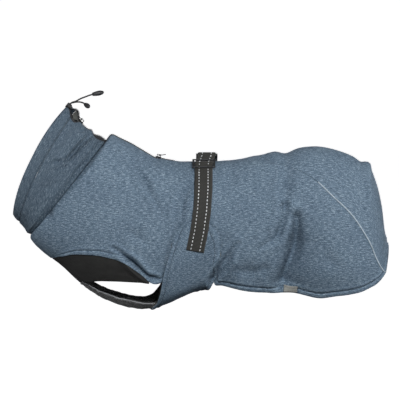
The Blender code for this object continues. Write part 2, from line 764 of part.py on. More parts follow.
def webbing(name, side, look):
    """A strap from a buckle bar, over the slider's bar on the left, down the flank onto the band."""
    if side == LEFT:
        turns = [GLIDE_TURN + row.along / MM_PER_RADIAN for row in OVER_GLIDE]
        lifts = [row.lift for row in OVER_GLIDE]
    else:
        turns, lifts = [radians(44), radians(48)], [STRAP_ON_SIDE] * 2
    down = [0.13, 0.20, 0.27, 0.33, 0.37, 0.40, 0.46, 0.52, 0.58, 0.64, 0.67]
    turns += list(np.interp(down, FRACTION_SCALE, TURN_SCALE))
    lifts += list(np.interp(down, [0.13, 0.30, 0.37], [STRAP_ON_SIDE, STRAP_ON_SIDE, STRAP_ON_BAND]))
    order = np.argsort(turns)
    middle, out = on_flank(np.array(turns)[order], np.array(lifts)[order], side, WEBBING_WIDTH)
    wrap, wrap_out = bar_wrap(side)
    middle = np.concatenate([wrap, middle])
    out = np.concatenate([wrap_out, out])
    half = WEBBING_THICKNESS / 2
    return wall(name, middle + half * out, middle - half * out, look)


def webbing_return(look):
    """The strap's return layer, between the strap and the side panel."""
    down = np.array([0.004, 0.02, 0.045, 0.08, 0.13, 0.20, 0.27, 0.33, 0.375])
    turns = np.interp(down, FRACTION_SCALE, TURN_SCALE)
    middle, out = on_flank(turns, np.full(len(turns), 1.35), LEFT, WEBBING_WIDTH - 1)
    middle[..., 0] -= np.linspace(0, 2.0, len(turns))[:, None]
    half = 0.5
    return wall("webbing_return", middle + half * out, middle - half * out, look)


def tube(name, points, diameter, look):
    """A round cord through a list of points in millimetres."""
    data = bpy.data.curves.new(name, "CURVE")
    data.dimensions = "3D"
    data.bevel_depth = diameter / 2 * MM
    data.bevel_resolution = 2
    data.use_fill_caps = True
    line = data.splines.new("POLY")
    line.points.add(len(points) - 1)
    for point, place in zip(line.points, points):
        point.co = (*(float(value) * MM for value in place), 1)
    data.materials.append(look)
    thing = bpy.data.objects.new(name, data)
    bpy.context.scene.collection.objects.link(thing)
    return thing


def piping(name, side, look):
    """The reflective piping along the rump's seam."""
    stations = np.linspace(20.05, 27.8, 18)
    lift = np.full(len(stations), PIPING_DIAMETER / 2 + 0.5)
    return tube(name, skin(BODY, stations, seam_angle(stations), side, lift), PIPING_DIAMETER, look)


def label_tab(look):
    """A blank tab at the left hem."""
    stations = np.linspace(17.75, 18.7, 4)
    fraction = np.linspace(0.772, 0.812, 3)[:, None]
    station = np.broadcast_to(stations, (3, 4))
    turn = angle(BODY, station, fraction)
    outer = skin(BODY, station, turn, LEFT, LAP_GAP + 1.0)
    inner = skin(BODY, station, turn, LEFT, LAP_GAP)
    return wall("label_tab", outer, inner, look)


# The cord lock sits between the collar's two corners. Its button points at the zip's opening.
LOCK_PLACE = (-183.5, 0.0, 78.5)
LOCK_AXIS = (0.77, 0.0, -0.64)
LOCK_RADIUS = 4.1
CORD_EXIT = (0.64, 0.0, 0.77)  # across the lock, where the two cords come out
CORD_BORE = CORD_DIAMETER / 2 + SEAM_GAP

# The two free ends of the drawstring, from inside the lock to inside their caps.
UPPER_ROUTE = [
    (-181.9, 1.5, 80.4),
    (-180.2, 1.6, 82.4),
    (-176.8, 1.0, 84.0),
    (-173.0, 0.2, 85.2),
    (-167.0, -0.5, 88.6),
    (-159.4, -0.6, 91.6),
    (-152.0, 0.0, 94.2),
    (-145.8, 0.8, 95.5),
]
LOWER_ROUTE = [
    (-181.9, -1.5, 80.4),
    (-180.2, -1.6, 82.4),
    (-176.5, -2.6, 83.6),
    (-172.0, -4.8, 84.4),
    (-167.0, -7.8, 84.6),
    (-162.6, -11.4, 83.6),
    (-159.8, -15.2, 82.0),
    (-158.2, -19.0, 81.3),
]
CAP_PROFILE = [(0, 5.2), (CORD_BORE, 5.2), (CORD_BORE, 0), (2.3, 0), (2.9, 3), (3.5, 8), (3.2, 12.5), (1.9, 15.6), (0, 16.8)]


def cord_lock(look):
    """A barrel with a blind bore for the button and two holes for the cords."""
    bore = 3.0
    profile = [(0, -3.4), (3.4, -3.4), (LOCK_RADIUS, -2.7), (LOCK_RADIUS, 3.0), (3.7, 3.5), (bore, 3.5), (bore, -1.9), (0, -1.9)]
    lock = lathe("cord_lock", profile, 16, look)
    lock.matrix_world = towards(LOCK_AXIS, LOCK_PLACE)
    for y in (-1.5, 1.5):
        start = [LOCK_PLACE[i] + 1.2 * CORD_EXIT[i] for i in range(3)]
        start[1] += y
        hole = lathe(f"cord hole {y}", [(0, 0), (CORD_BORE, 0), (CORD_BORE, 6), (0, 6)], 12, look)
        hole.matrix_world = towards(CORD_EXIT, start)
        combine(lock, hole, "DIFFERENCE")
    return lock


def cord_lock_button(look):
    profile = [(0, 1.0), (2.6, 1.0), (2.6, 5.2), (2.0, 5.9), (0, 5.9)]
    button = lathe("cord_lock_button", profile, 16, look)
    button.matrix_world = towards(LOCK_AXIS, LOCK_PLACE)
    return button


def drawstring_end(name, cap_name, route, cord_look, cap_look):
    """A free end of the drawstring and the cap on it."""
    count = 9
    places = smooth(route, np.linspace(0, len(route) - 1, count))
    tube(name, places, CORD_DIAMETER, cord_look)
    direction = places[-1] - places[-2]
    direction = direction / np.linalg.norm(direction)
    cap = lathe(cap_name, CAP_PROFILE, 14, cap_look)
    cap.matrix_world = towards(direction, places[-1] - 4.7 * direction)
    return cap


def build():
    clear_scene()
    blue = material("heathered softshell", BLUE, 0.8)
    black = material("black stretch cloth", BLACK, 0.7)
    fleece = material("black fleece", BLACK_FLEECE, 0.95)
    webbing_look = material("black webbing", WEBBING_BLACK, 0.8)
    plastic = material("black plastic", PLASTIC_BLACK, 0.4)
    enamel = material("black enamelled metal", PLASTIC_BLACK, 0.35, 0.6)
    piping_look = material("reflective piping", PIPING_GREY, 0.5)
    label_look = material("blank label", LABEL_GREY, 0.8)
    side_panel("side_left", LEFT, blue)
    side_panel("side_right", RIGHT, blue)
    rump_panel(blue)
    collar_part("collar_casing", CASING_STATIONS, 0.8, 3.0, blue)
    collar_part("collar", COLLAR_STATIONS, 0.0, WALL, blue)
    chest_panel(black)
    chest_strip(fleece)
    belly_band(blue)
    zip_tape("zip_tape_left", LEFT, webbing_look)
    zip_tape("zip_tape_right", RIGHT, webbing_look)
    front = frame_on(COLLAR, 2.15, 0.0, LEFT, -0.1)
    rear = frame_on(BODY, 7.45, 0.0, LEFT, 0.3)
    zip_slider("zip_slider_front", front, enamel)
    zip_slider("zip_slider_rear", rear, enamel)
    zip_pull("zip_pull_front", front, 176, enamel)
    zip_pull("zip_pull_rear", rear, 18, enamel)
    strap_slider(plastic)
    buckle_half("buckle_socket", -1, plastic)
    buckle_half("buckle_plug", 1, plastic)
    webbing("webbing_left", LEFT, webbing_look)
    webbing("webbing_right", RIGHT, webbing_look)
    webbing_return(webbing_look)
    piping("piping_left", LEFT, piping_look)
    piping("piping_right", RIGHT, piping_look)
    label_tab(label_look)
    cord_lock(plastic)
    cord_lock_button(plastic)
    drawstring_end("drawstring_upper", "cord_cap_upper", UPPER_ROUTE, webbing_look, plastic)
    drawstring_end("drawstring_lower", "cord_cap_lower", LOWER_ROUTE, webbing_look, plastic)


build()
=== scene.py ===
"""Looks for the dog's winter coat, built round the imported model.

The neck points to -X, the tail to +X, the coat's left side to -Y and its back up +Z.
Tables are in millimetres. The form's tables and functions are those of the CAD source, save for the
band's hem by the keel, which its folds move.
"""

from collections import namedtuple
from math import cos, pi, radians, sin

import bmesh
import bpy
import numpy as np
from mathutils import Matrix, Vector


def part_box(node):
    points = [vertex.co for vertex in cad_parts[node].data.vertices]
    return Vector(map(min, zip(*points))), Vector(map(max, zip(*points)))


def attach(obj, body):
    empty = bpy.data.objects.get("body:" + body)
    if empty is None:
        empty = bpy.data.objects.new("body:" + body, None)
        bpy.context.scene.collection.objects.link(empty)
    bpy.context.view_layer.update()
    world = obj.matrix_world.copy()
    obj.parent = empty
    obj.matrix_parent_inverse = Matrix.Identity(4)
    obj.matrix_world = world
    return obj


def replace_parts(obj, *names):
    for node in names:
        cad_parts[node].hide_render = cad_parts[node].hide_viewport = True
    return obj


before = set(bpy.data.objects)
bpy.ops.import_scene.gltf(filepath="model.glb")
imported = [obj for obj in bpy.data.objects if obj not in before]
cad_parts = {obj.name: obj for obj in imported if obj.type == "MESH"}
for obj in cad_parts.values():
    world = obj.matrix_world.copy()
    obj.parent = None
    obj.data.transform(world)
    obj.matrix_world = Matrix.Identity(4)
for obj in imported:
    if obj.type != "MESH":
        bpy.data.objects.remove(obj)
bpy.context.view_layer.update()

MM = 0.001
WALL = 2.0  # softshell with its fleece lining
THIN_WALL = 1.6  # stretch cloth of the chest, and the strip
SEAM_GAP = 0.3
LAP_GAP = 0.8  # between a piece and the panel that it lies on
ZIP_HALF_WIDTH = 4.5
WEBBING_WIDTH = 25.0
WEBBING_THICKNESS = 1.2
CORD_DIAMETER = 2.2
PIPING_DIAMETER = 1.7
BINDING_DIAMETER = 1.1
BOXINESS = 0.85
LEFT = -1
RIGHT = 1
SIDES = ((LEFT, "left"), (RIGHT, "right"))

# ---- The camera, where the photographer stood -------------------------------------------------

CAMERA_ELEVATION = radians(6)
CAMERA_DISTANCE = 5.0
FRAME_WIDTH = 0.56  # what the picture spans at the coat's middle, in metres
FRAME_CENTRE_Z = -0.0535


def make_camera():
    data = bpy.data.cameras.new("camera")
    data.sensor_width = 36
    data.lens = data.sensor_width * CAMERA_DISTANCE / FRAME_WIDTH
    data.clip_start, data.clip_end = 0.1, 60
    thing = bpy.data.objects.new("camera", data)
    bpy.context.scene.collection.objects.link(thing)
    back = Vector((0, -cos(CAMERA_ELEVATION), sin(CAMERA_ELEVATION)))
    thing.location = Vector((0, 0, FRAME_CENTRE_Z)) + back * CAMERA_DISTANCE
    thing.rotation_euler = (-back).to_track_quat("-Z", "Y").to_euler()
    bpy.context.scene.camera = thing


# ---- The coat's form ---------------------------------------------------------------------------

# Each section runs from the ridge to the keel, as seen from the side. half_width is its greatest
# one, found at the fraction widest_at of the way down. swell moves the flanks forward. The cloth's
# lower edge is at the fraction edge_at, the rump's seam at seam_at, the leg hole's top at leg_at.
Section = namedtuple(
    "Section", "ridge_x ridge_z keel_x keel_z half_width widest_at swell edge_at seam_at leg_at"
)
BODY = [
    Section(-130, 33, -238, -102, 52, 0.50, 0, 1.000, 0, 1),
    Section(-123, 39, -232, -110, 58, 0.52, 0, 1.000, 0, 1),
    Section(-112, 34, -220, -123, 62, 0.53, 0, 1.000, 0, 1),
    Section(-102, 29, -209, -134, 65, 0.54, 0, 0.995, 0, 1),
    Section(-94, 25, -192, -149, 67, 0.54, 0, 0.858, 0, 1),
    Section(-84, 19, -169, -171, 69, 0.55, 0, 0.752, 0, 0.965),
    Section(-74, 13, -147, -186, 70, 0.55, 0, 0.706, 0, 0.881),
    Section(-63, 7, -122, -197, 71, 0.55, 0, 0.692, 0, 0.828),
    Section(-52, 5, -97, -203, 71, 0.55, 0, 0.735, 0, 0.807),
    Section(-41, 3, -71, -205, 71, 0.55, 0, 0.797, 0, 0.800),
    Section(-28, 1, -50, -198, 71, 0.55, 0, 0.807, 0, 0.8),
    Section(-14, 1, -28, -188, 71, 0.55, 0, 0.850, 0, 0.8),
    Section(1, 1, -6, -179, 70, 0.55, 0, 0.895, 0, 0.8),
    Section(18, 1, 15, -176, 70, 0.55, 0, 0.925, 0, 0.8),
    Section(36, 2, 35, -193, 71, 0.56, 0, 0.871, 0, 0.8),
    Section(56, 4, 56, -206, 73, 0.57, 0, 0.840, 0, 0.8),
    Section(77, 9, 77, -213, 75, 0.58, 0, 0.828, 0, 0.8),
    Section(98, 13, 99, -218, 77, 0.59, 0, 0.820, 0.028, 0.8),
    Section(119, 13, 122, -221, 78, 0.60, 0, 0.817, 0.060, 0.8),
    Section(140, 20, 145, -224, 79, 0.60, 0, 0.822, 0.118, 0.8),
    Section(161, 22, 168, -228, 79, 0.60, 0, 0.822, 0.175, 0.8),
    Section(182, 19, 189, -225, 78, 0.60, 0, 0.819, 0.249, 0.8),
    Section(202, 13, 208, -221, 75, 0.60, 0, 0.820, 0.315, 0.8),
    Section(218, 6, 223, -216, 71, 0.60, 0, 0.820, 0.392, 0.8),
    Section(234, -1, 236, -205, 66, 0.60, 0, 0.830, 0.516, 0.8),
    Section(244, -22, 245, -198, 62, 0.60, 0, 0.814, 0.609, 0.8),
    Section(253, -55, 250, -195, 58, 0.58, 0, 0.745, 0.618, 0.8),
    Section(258, -90, 253, -189, 54, 0.55, 0, 0.650, 0.575, 0.8),
    Section(264, -119, 253, -178, 51, 0.52, 0, 0.536, 0.519, 0.8),
]
COLLAR = [
    Section(-186, 78, -262, -73, 50, 0.50, 12, 1, 0, 1),
    Section(-176, 69, -253, -84, 51, 0.50, 8, 1, 0, 1),
    Section(-168, 58, -248, -90, 53, 0.50, 7, 1, 0, 1),
    Section(-160, 49, -245, -94, 53, 0.50, 5, 1, 0, 1),
    Section(-153, 43, -243.5, -96.5, 53, 0.50, 3, 1, 0, 1),
    Section(-147, 37, -242, -98, 52, 0.50, 2, 1, 0, 1),
    Section(-139, 34, -240.5, -99.5, 51, 0.50, 1, 1, 0, 1),
    Section(-131.4, 33, -239, -101, 52, 0.50, 0, 1, 0, 1),
]
CHEST_FRONT = 3.05  # where the two side panels' edges leave the keel
CHEST_REAR = 5.0  # where the chest panel meets the strip
TONGUE_END = 8.75
ZIP_END = 9.6  # station of the zip's lower end
SEAM_APEX = 16.75  # where the rump's seam leaves the ridge
TAIL = 28.0
SIDE_END = 27.85
# How far the collar's left and right edges lie from the middle, where the open zip lets them part.
Opening = namedtuple("Opening", "station left right")
OPENING = [
    Opening(0.0, 4.5, 4.5),
    Opening(0.35, 6.5, 4.5),
    Opening(0.8, 16.0, 4.9),
    Opening(1.2, 20.5, 5.5),
    Opening(1.6, 20.0, 5.5),
    Opening(1.85, 15.0, 5.0),
    Opening(2.05, 8.0, ZIP_HALF_WIDTH),
    Opening(2.15, ZIP_HALF_WIDTH, ZIP_HALF_WIDTH),
]

# The belly band's edges: the station of its front and rear edge at a fraction of the way down.
Band = namedtuple("Band", "at front rear")
BAND = [
    Band(0.388, 11.55, 12.00),
    Band(0.400, 11.25, 12.20),
    Band(0.420, 10.85, 12.45),
    Band(0.450, 10.50, 12.80),
    Band(0.520, 10.18, 13.20),
    Band(0.600, 9.98, 13.48),
    Band(0.670, 9.83, 13.55),
    Band(0.770, 9.65, 13.38),
    Band(0.880, 9.58, 13.32),
    Band(0.950, 9.42, 13.10),
    Band(1.000, 9.05, 12.42),
]

# The strap's centre line, from the ridge to its sewn end on the band.
Strap = namedtuple("Strap", "at x")
STRAP = [
    Strap(0.00, 9.5),
    Strap(0.006, 6.6),
    Strap(0.05, 5.0),
    Strap(0.19, 5.0),
    Strap(0.35, 3.0),
    Strap(0.50, -1.0),
    Strap(0.67, -8.0),
]


def smooth(table, at):
    """A table's rows at a fractional row number, along a smooth curve through them."""
    rows = np.array(table, float)
    at = np.clip(np.asarray(at, float), 0, len(rows) - 1)
    first = np.minimum(at.astype(int), len(rows) - 2)
    part = (at - first)[..., None]
    slopes = np.gradient(rows, axis=0)
    begin, end = rows[first], rows[first + 1]
    leave, arrive = slopes[first], slopes[first + 1]
    return (
        begin * (2 * part**3 - 3 * part**2 + 1)
        + leave * (part**3 - 2 * part**2 + part)
        + end * (3 * part**2 - 2 * part**3)
        + arrive * (part**3 - part**2)
    )


def column(table, at, name):
    return smooth(table, at)[..., Section._fields.index(name)]


def angle(table, station, fraction):
    """The angle round a section, 0 on the ridge and pi on the keel, at a fraction of the way down."""
    widest = column(table, station, "widest_at")
    fraction = np.clip(fraction, 0, 1)
    above = np.arccos(np.clip(1 - fraction / widest, -1, 1))
    low = np.clip((fraction - widest) / (1 - widest), 0, 1)
    below = pi - np.arccos(low ** (1 / BOXINESS))
    return np.where(fraction < widest, above, below)


def angle_of_width(table, station, width, near_keel=False):
    """The angle round a section at a distance from the middle, by the ridge or by the keel."""
    share = np.clip(width / column(table, station, "half_width"), 0, 1)
    if near_keel:
        return pi - np.arcsin(share ** (1 / BOXINESS))
    return np.arcsin(share)


def plain_skin(table, station, turn, side):
    """Points of the coat's form, before its folds."""
    station, turn = np.broadcast_arrays(np.asarray(station, float), np.asarray(turn, float))
    row = smooth(table, station)
    ridge, keel = row[..., 0:2], row[..., 2:4]
    width, widest, swell = row[..., 4], row[..., 5], row[..., 6]
    low = turn > pi / 2
    bend = np.abs(np.cos(turn))
    across = np.abs(np.sin(turn))
    down = np.where(low, widest + (1 - widest) * bend**BOXINESS, widest * (1 - bend))
    out = np.where(low, across**BOXINESS, across)
    run = keel - ridge
    forward = np.stack([run[..., 1], -run[..., 0]], -1)
    forward = forward / np.linalg.norm(forward, axis=-1, keepdims=True)
    flat = ridge + down[..., None] * run + (swell * across**2)[..., None] * forward
    return np.stack([flat[..., 0], side * width * out, flat[..., 1]], -1)


def normals(table, station, turn, side):
    """Unit vectors that point out of the coat."""
    step = 0.02
    top = len(table) - 1
    before, after = np.clip(station - step, 0, top), np.clip(station + step, 0, top)
    upper, lower = np.maximum(turn - step, 0.002), np.minimum(turn + step, pi - 0.002)
    along = plain_skin(table, after, turn, side) - plain_skin(table, before, turn, side)
    round_ = plain_skin(table, station, lower, side) - plain_skin(table, station, upper, side)
    out = np.cross(along, round_) * side
    out = out / np.linalg.norm(out, axis=-1, keepdims=True)
    # At the neck seam both cloths end square to the seam, so that their walls don't cross.
    run = smooth(table, station)[..., 2:4] - smooth(table, station)[..., 0:2]
    run = run / np.linalg.norm(run, axis=-1, keepdims=True)
    square = np.stack([run[..., 1], np.zeros_like(run[..., 0]), -run[..., 0]], -1)
    from_seam = np.asarray(station if table is BODY else top - station, float)
    near = np.clip(1 - from_seam / 0.8, 0, 1)
    out = out - (near * (out * square).sum(-1))[..., None] * square
    return out / np.linalg.norm(out, axis=-1, keepdims=True)


# ---- Creases -----------------------------------------------------------------------------------

# A crease runs along a path, as the camera sees the flank: x towards the tail and z up. width is
# half the trough's. depth is how far it sinks. ridge is how far the cloth rises beside it.
# A crease fades in from its first point if opens is 0, and starts at its full depth if it is 1.
Crease = namedtuple("Crease", "path width depth ridge opens closes")
CREASES_LEFT = [
    Crease([(121, -10), (121, -30), (120, -44), (120, -56)], 9, 6.0, 0.3, 0, 0.6),
    Crease([(107, -68), (114, -63), (121, -58), (127, -52)], 2.6, 3.4, 0.4, 0.3, 0.2),
    Crease(
        [(119, -62), (117, -79), (112, -95), (107, -106), (94, -116), (84, -120)],
        width=6.5, depth=11.0, ridge=0.3, opens=0.8, closes=0.1,
    ),
    Crease(
        [(134, -76), (133.5, -98), (131, -118), (126, -136), (120, -152), (115, -170)],
        width=9.0, depth=16.0, ridge=0.16, opens=0.7, closes=0.9,
    ),
    Crease([(137, -62), (138, -100), (135, -136), (127, -170)], 27, 15.0, 0.05, 0.2, 1),
    Crease([(53, -114), (43, -127), (34, -142), (27, -152), (18, -163)], 5.5, 7.0, 0.6, 0.3, 0.9),
    Crease([(44, -2), (44, -18), (43, -34), (42, -46)], 8, 1.8, 0.4, 0.4, 0),
    Crease([(103, -6), (102, -24), (99, -38)], 7, 1.4, 0.4, 0.3, 0),
    Crease([(91, 8), (96, 3), (103, 0), (111, -3)], 3.2, 2.4, 0.6, 0.7, 0),
    Crease([(74, -100), (76, -108), (72, -118)], 5, 1.6, 0.4, 0, 0),
    Crease(
        [(-114, 20), (-100, 4), (-84, -18), (-70, -42), (-58, -62), (-54, -80)],
        width=5.5, depth=5.2, ridge=0.5, opens=0.2, closes=0.1,
    ),
    Crease([(-108, -92), (-90, -104), (-72, -116)], 10, 3.0, 0.2, 0, 0.2),
    Crease([(-206, -62), (-214, -76), (-220, -88)], 5.0, 4.0, 0.2, 0.2, 0),
    Crease([(-72, 10), (-60, 0), (-50, -8)], 6, 1.3, 0.4, 0, 0),
    Crease([(-118, 6), (-100, -18), (-86, -46)], 10, 1.1, 0.3, 0, 0),
    Crease([(-4, -28), (-16, -36), (-24, -52), (-28, -78), (-30, -108)], 7.0, 7.0, 0.3, 0.5, 0.3),
    Crease(
        [(-121, -121), (-109, -130), (-95, -141), (-83, -152.5), (-73, -161), (-62, -163)],
        width=4.6, depth=9.5, ridge=0.5, opens=0.3, closes=0.5,
    ),
    Crease([(222, -22), (232, -40), (244, -62), (251, -80)], 5, 2.0, 0.5, 0, 0),
    Crease([(212, -10), (224, -32), (238, -60)], 5, 1.4, 0.5, 0, 0),
    Crease([(30, -88), (36, -110), (34, -136)], 8, 1.8, 0.4, 0, 0.4),
    Crease([(170, -118), (184, -140), (206, -150)], 12, 2.2, 0.2, 0, 0),
    Crease([(34, -148), (62, -154), (88, -152), (108, -146)], 13, 4.5, 0.1, 0, 0),
    Crease([(96, -136), (92, -150), (94, -164)], 7, 2.0, 0.5, 0, 0.4),
]
CREASES_RIGHT = [
    Crease([(118, -10), (118, -28), (114, -46), (111, -58)], 8, 3.2, 0.5, 0, 0.6),
    Crease([(106, -70), (112, -64), (121, -58)], 2.4, 1.6, 0.5, 0.2, 0.1),
    Crease([(112, -60), (110, -80), (104, -98), (92, -110), (76, -116)], 5.5, 4.6, 0.8, 0.5, 0),
    Crease([(148, -64), (146, -90), (141, -116), (134, -138), (128, -166)], 8, 7.0, 0.5, 0.2, 0.8),
    Crease([(56, -104), (44, -120), (36, -138), (26, -156)], 5.5, 4.8, 0.7, 0.1, 0.9),
    Crease([(44, -6), (46, -24), (42, -46)], 8, 1.6, 0.4, 0.2, 0),
    Crease([(88, -8), (90, -26), (86, -50)], 7, 1.8, 0.4, 0.2, 0),
    Crease([(-106, 20), (-92, -6), (-78, -34), (-62, -56)], 5.5, 2.2, 0.5, 0.1, 0),
    Crease([(-124, 2), (-106, -22), (-94, -52)], 10, 1.1, 0.3, 0, 0),
    Crease([(-16, -30), (-28, -44), (-34, -70), (-36, -104)], 6.5, 3.0, 0.6, 0.2, 0.2),
    Crease([(-116, -124), (-98, -138), (-84, -152), (-74, -164)], 3.8, 5.0, 0.8, 0.2, 0.6),
    Crease([(224, -16), (236, -40), (247, -68)], 5, 1.8, 0.5, 0, 0),
    Crease([(176, -112), (188, -136), (210, -148)], 12, 1.2, 0.3, 0, 0),
]
CREASES_COLLAR = [
    Crease(
        [(-140, 34), (-149, 25), (-157, 14), (-165, 3), (-175, -9), (-187, -25)],
        width=6.0, depth=-8.0, ridge=0, opens=0.6, closes=0.1,
    ),
    Crease(
        [(-140, 28), (-149, 18), (-156, 8), (-163, 0), (-173, -12), (-188, -38), (-200, -55)],
        width=3.4, depth=5.0, ridge=0, opens=1, closes=0.2,
    ),
    Crease(
        [(-153, 38), (-161, 30), (-170, 21), (-181, 8), (-190, 1), (-203, 0)],
        width=3.8, depth=13.0, ridge=0.2, opens=0.8, closes=0.3,
    ),
    Crease([(-201, -12), (-195, -8), (-188, -6), (-180, -8)], 2.8, 4.0, 0.7, 0.4, 0),
    Crease([(-174, 43), (-167, 43.5), (-159, 42)], 2.2, 3.4, 0.6, 0.5, 0.2),
    Crease([(-192, 28), (-188, 40), (-181, 52)], 5.0, 1.8, 0.4, 0, 0),
    Crease([(-213, -6), (-209, 10), (-204, 20)], 4.0, 1.2, 0.4, 0, 0),
    Crease([(-222, -46), (-210, -34), (-196, -26)], 7.0, 1.5, 0.4, 0, 0),
    Crease([(-204, 12), (-190, 24), (-176, 30)], 10.0, 2.0, 0.2, 0.2, 0.2),
    Crease([(-206, 18), (-196, 20), (-188, 27)], 2.6, 1.4, 0.5, 0.1, 0),
]


# The side panels sink along the band's two edges, so that those stand clear.
UNDER_BAND = [
    Crease(
        [(-13, -81), (-25, -87), (-34, -98), (-39, -112), (-42, -126), (-46, -144), (-50, -164)],
        width=4.2, depth=4.2, ridge=0, opens=0.3, closes=1,
    ),
    Crease(
        [(13, -88), (22, -96), (27, -106), (28.5, -121), (27.5, -135), (24, -148), (20, -164)],
        width=4.2, depth=4.2, ridge=0, opens=0.3, closes=1,
    ),
]

# Small rises and dips across the back, which its outline shows.
Rise = namedtuple("Rise", "station reach height")
BACK_RISES = [
    Rise(16.5, 0.45, -1.2),
    Rise(17.4, 0.35, 1.6),
    Rise(18.1, 0.30, -0.8),
    Rise(23.45, 0.35, -3.2),
    Rise(24.15, 0.26, 2.8),
]


def curve_through(path, count):
    """Points along a smooth curve through a few."""
    return smooth(path, np.linspace(0, len(path) - 1, count))


def crease_height(seen, creases):
    """How far each point of the cloth is moved out by the creases: below zero in a trough."""
    height = np.zeros(seen.shape[:-1])
    for crease in creases:
        line = curve_through(crease.path, 5 * len(crease.path))
        low, high = line.min(0) - 3.2 * crease.width, line.max(0) + 3.2 * crease.width
        near_it = np.all((seen > low) & (seen < high), axis=-1)
        if not near_it.any():
            continue
        place = seen[near_it]
        run = np.diff(line, axis=0)
        length = np.linalg.norm(run, axis=1)
        reached = np.concatenate([[0], np.cumsum(length)]) / length.sum()
        nearest = np.full(len(place), np.inf)
        along = np.zeros(len(place))
        for number in range(len(run)):
            start = line[number]
            part = np.clip((place - start) @ run[number] / length[number] ** 2, 0, 1)
            away = np.linalg.norm(place - start - part[:, None] * run[number], axis=1)
            closer = away < nearest
            nearest = np.where(closer, away, nearest)
            here = reached[number] + part * (reached[number + 1] - reached[number])
            along = np.where(closer, here, along)
        rise = np.clip(along / 0.45, 0, 1)
        fall = np.clip((1 - along) / 0.45, 0, 1)
        fade = (crease.opens + (1 - crease.opens) * rise**1.5) * (
            crease.closes + (1 - crease.closes) * fall**1.5
        )
        away = nearest / (crease.width * (0.55 + 0.45 * fade))
        trough = np.exp(-(away**1.7) * 1.6)
        shoulder = crease.ridge * np.exp(-(((away - 1.9) / 0.8) ** 2))
        height[near_it] += crease.depth * fade * (shoulder - trough)
    return height


def soft_noise(u, v, size, seed):
    """Smooth random heights from -1 to 1, which change over the size in millimetres."""
    cells = 64
    lattice = np.random.default_rng(seed).uniform(-1, 1, (cells, cells))
    u, v = np.asarray(u) / size, np.asarray(v) / size
    i, j = np.floor(u).astype(int), np.floor(v).astype(int)
    a, b = u - i, v - j
    a, b = a * a * (3 - 2 * a), b * b * (3 - 2 * b)

    def at(di, dj):
        return lattice[(i + di) % cells, (j + dj) % cells]

    low = at(0, 0) * (1 - a) + at(1, 0) * a
    high = at(0, 1) * (1 - a) + at(1, 1) * a
    return low * (1 - b) + high * b


def seen_from_side(points):
    """Where the camera sees points of a flank: x and z of the picture plane."""
    up = points[..., 2] * cos(CAMERA_ELEVATION) - np.abs(points[..., 1]) * sin(CAMERA_ELEVATION)
    middle = FRAME_CENTRE_Z / MM * cos(CAMERA_ELEVATION)
    nearer = CAMERA_DISTANCE / (CAMERA_DISTANCE - np.abs(points[..., 1]) * MM)
    return np.stack([points[..., 0] * nearer, middle + (up - middle) * nearer], -1)


def bump_between(at, low, high):
    """1 between low and high, falling to 0 at both, smoothly."""
    part = np.clip((at - low) / (high - low), 0, 1)
    return np.sin(pi * part) ** 2


SEAM_DIP = 4.0  # how far the flanks sink towards the neck seam


def relief(table, points, station, turn, side):
    """How far the cloth stands off the plain form."""
    seen = seen_from_side(points)
    u, v = points[..., 0] + side * 500, points[..., 2] + 0.6 * np.abs(points[..., 1])
    slack = 0.45 * soft_noise(u, v, 34, 11) + 0.25 * soft_noise(u, v, 15, 12)
    slack += 0.10 * soft_noise(u, v, 6, 13)
    top = len(table) - 1
    if table is COLLAR:
        # The collar's cloth rolls over the neck seam. Its casing is gathered on the drawstring.
        height = crease_height(seen, CREASES_COLLAR) * np.clip((turn - 0.12) / 0.35, 0, 1)
        roll = np.exp(-(((station - 5.2) / 1.0) ** 2))
        height += 2.4 * roll * np.sin(np.clip(turn, 0, pi)) ** 0.5
        upper_half = np.clip(1.8 - turn, 0.35, 1)
        to_seam = np.clip(1 - (top - station) / 0.9, 0, 1) ** 1.6
        height -= (4.6 * upper_half + SEAM_DIP * np.sin(turn) ** 2) * to_seam
        height += 2.6 * np.exp(-(((station - 4.0) / 0.4) ** 2)) * np.exp(-((turn / 0.35) ** 2))
        # Above the neck seam the cloth falls away from the zip.
        beside_zip = np.clip(turn / 0.09, 0, 1) * np.exp(-((turn / 0.5) ** 2))
        height -= 3.0 * bump_between(station, 4.2, 7.6) * beside_zip
        round_mouth, down_mouth = turn * 60, station * 3
        gathers = soft_noise(round_mouth, down_mouth, 4.0, 21)
        gathers += 0.6 * soft_noise(round_mouth, down_mouth, 2.2, 22)
        height += 0.45 * gathers * np.clip(1 - np.abs(station - 1.0) / 1.1, 0, 1)
        # At the open zip the right edge stands up and the left one rolls outwards.
        at_opening = bump_between(station, 0.1, 2.1) * np.exp(-((turn / 0.45) ** 2))
        height += (6.5 if side == RIGHT else -1.5) * at_opening
        at_mouth = np.clip(1 - station / 1.5, 0, 1)
        return height + (1.2 - 0.8 * at_mouth) * slack
    creases = CREASES_LEFT if side == LEFT else CREASES_RIGHT
    height = crease_height(seen, creases)
    height -= 3.2 * np.clip(1.8 - turn, 0.4, 1) * np.clip(1 - station / 0.45, 0, 1) ** 2
    height -= SEAM_DIP * np.sin(turn) ** 2 * np.exp(-((station / 1.7) ** 2))
    # The throat is a little fuller than the plain form, and the chest a little flatter.
    fullness = np.interp(station, [0, 0.4, 1.4, 2.6, 3.6, 5.0, 6.5], [0, 2.4, 3.2, 1.2, -1.0, -1.2, 0])
    height += fullness * np.exp(-(((pi - turn) / 0.6) ** 2))
    near_ridge = np.exp(-((turn / 0.8) ** 2))
    for rise in BACK_RISES:
        height += rise.height * near_ridge * np.exp(-(((station - rise.station) / rise.reach) ** 2))
    return height + slack


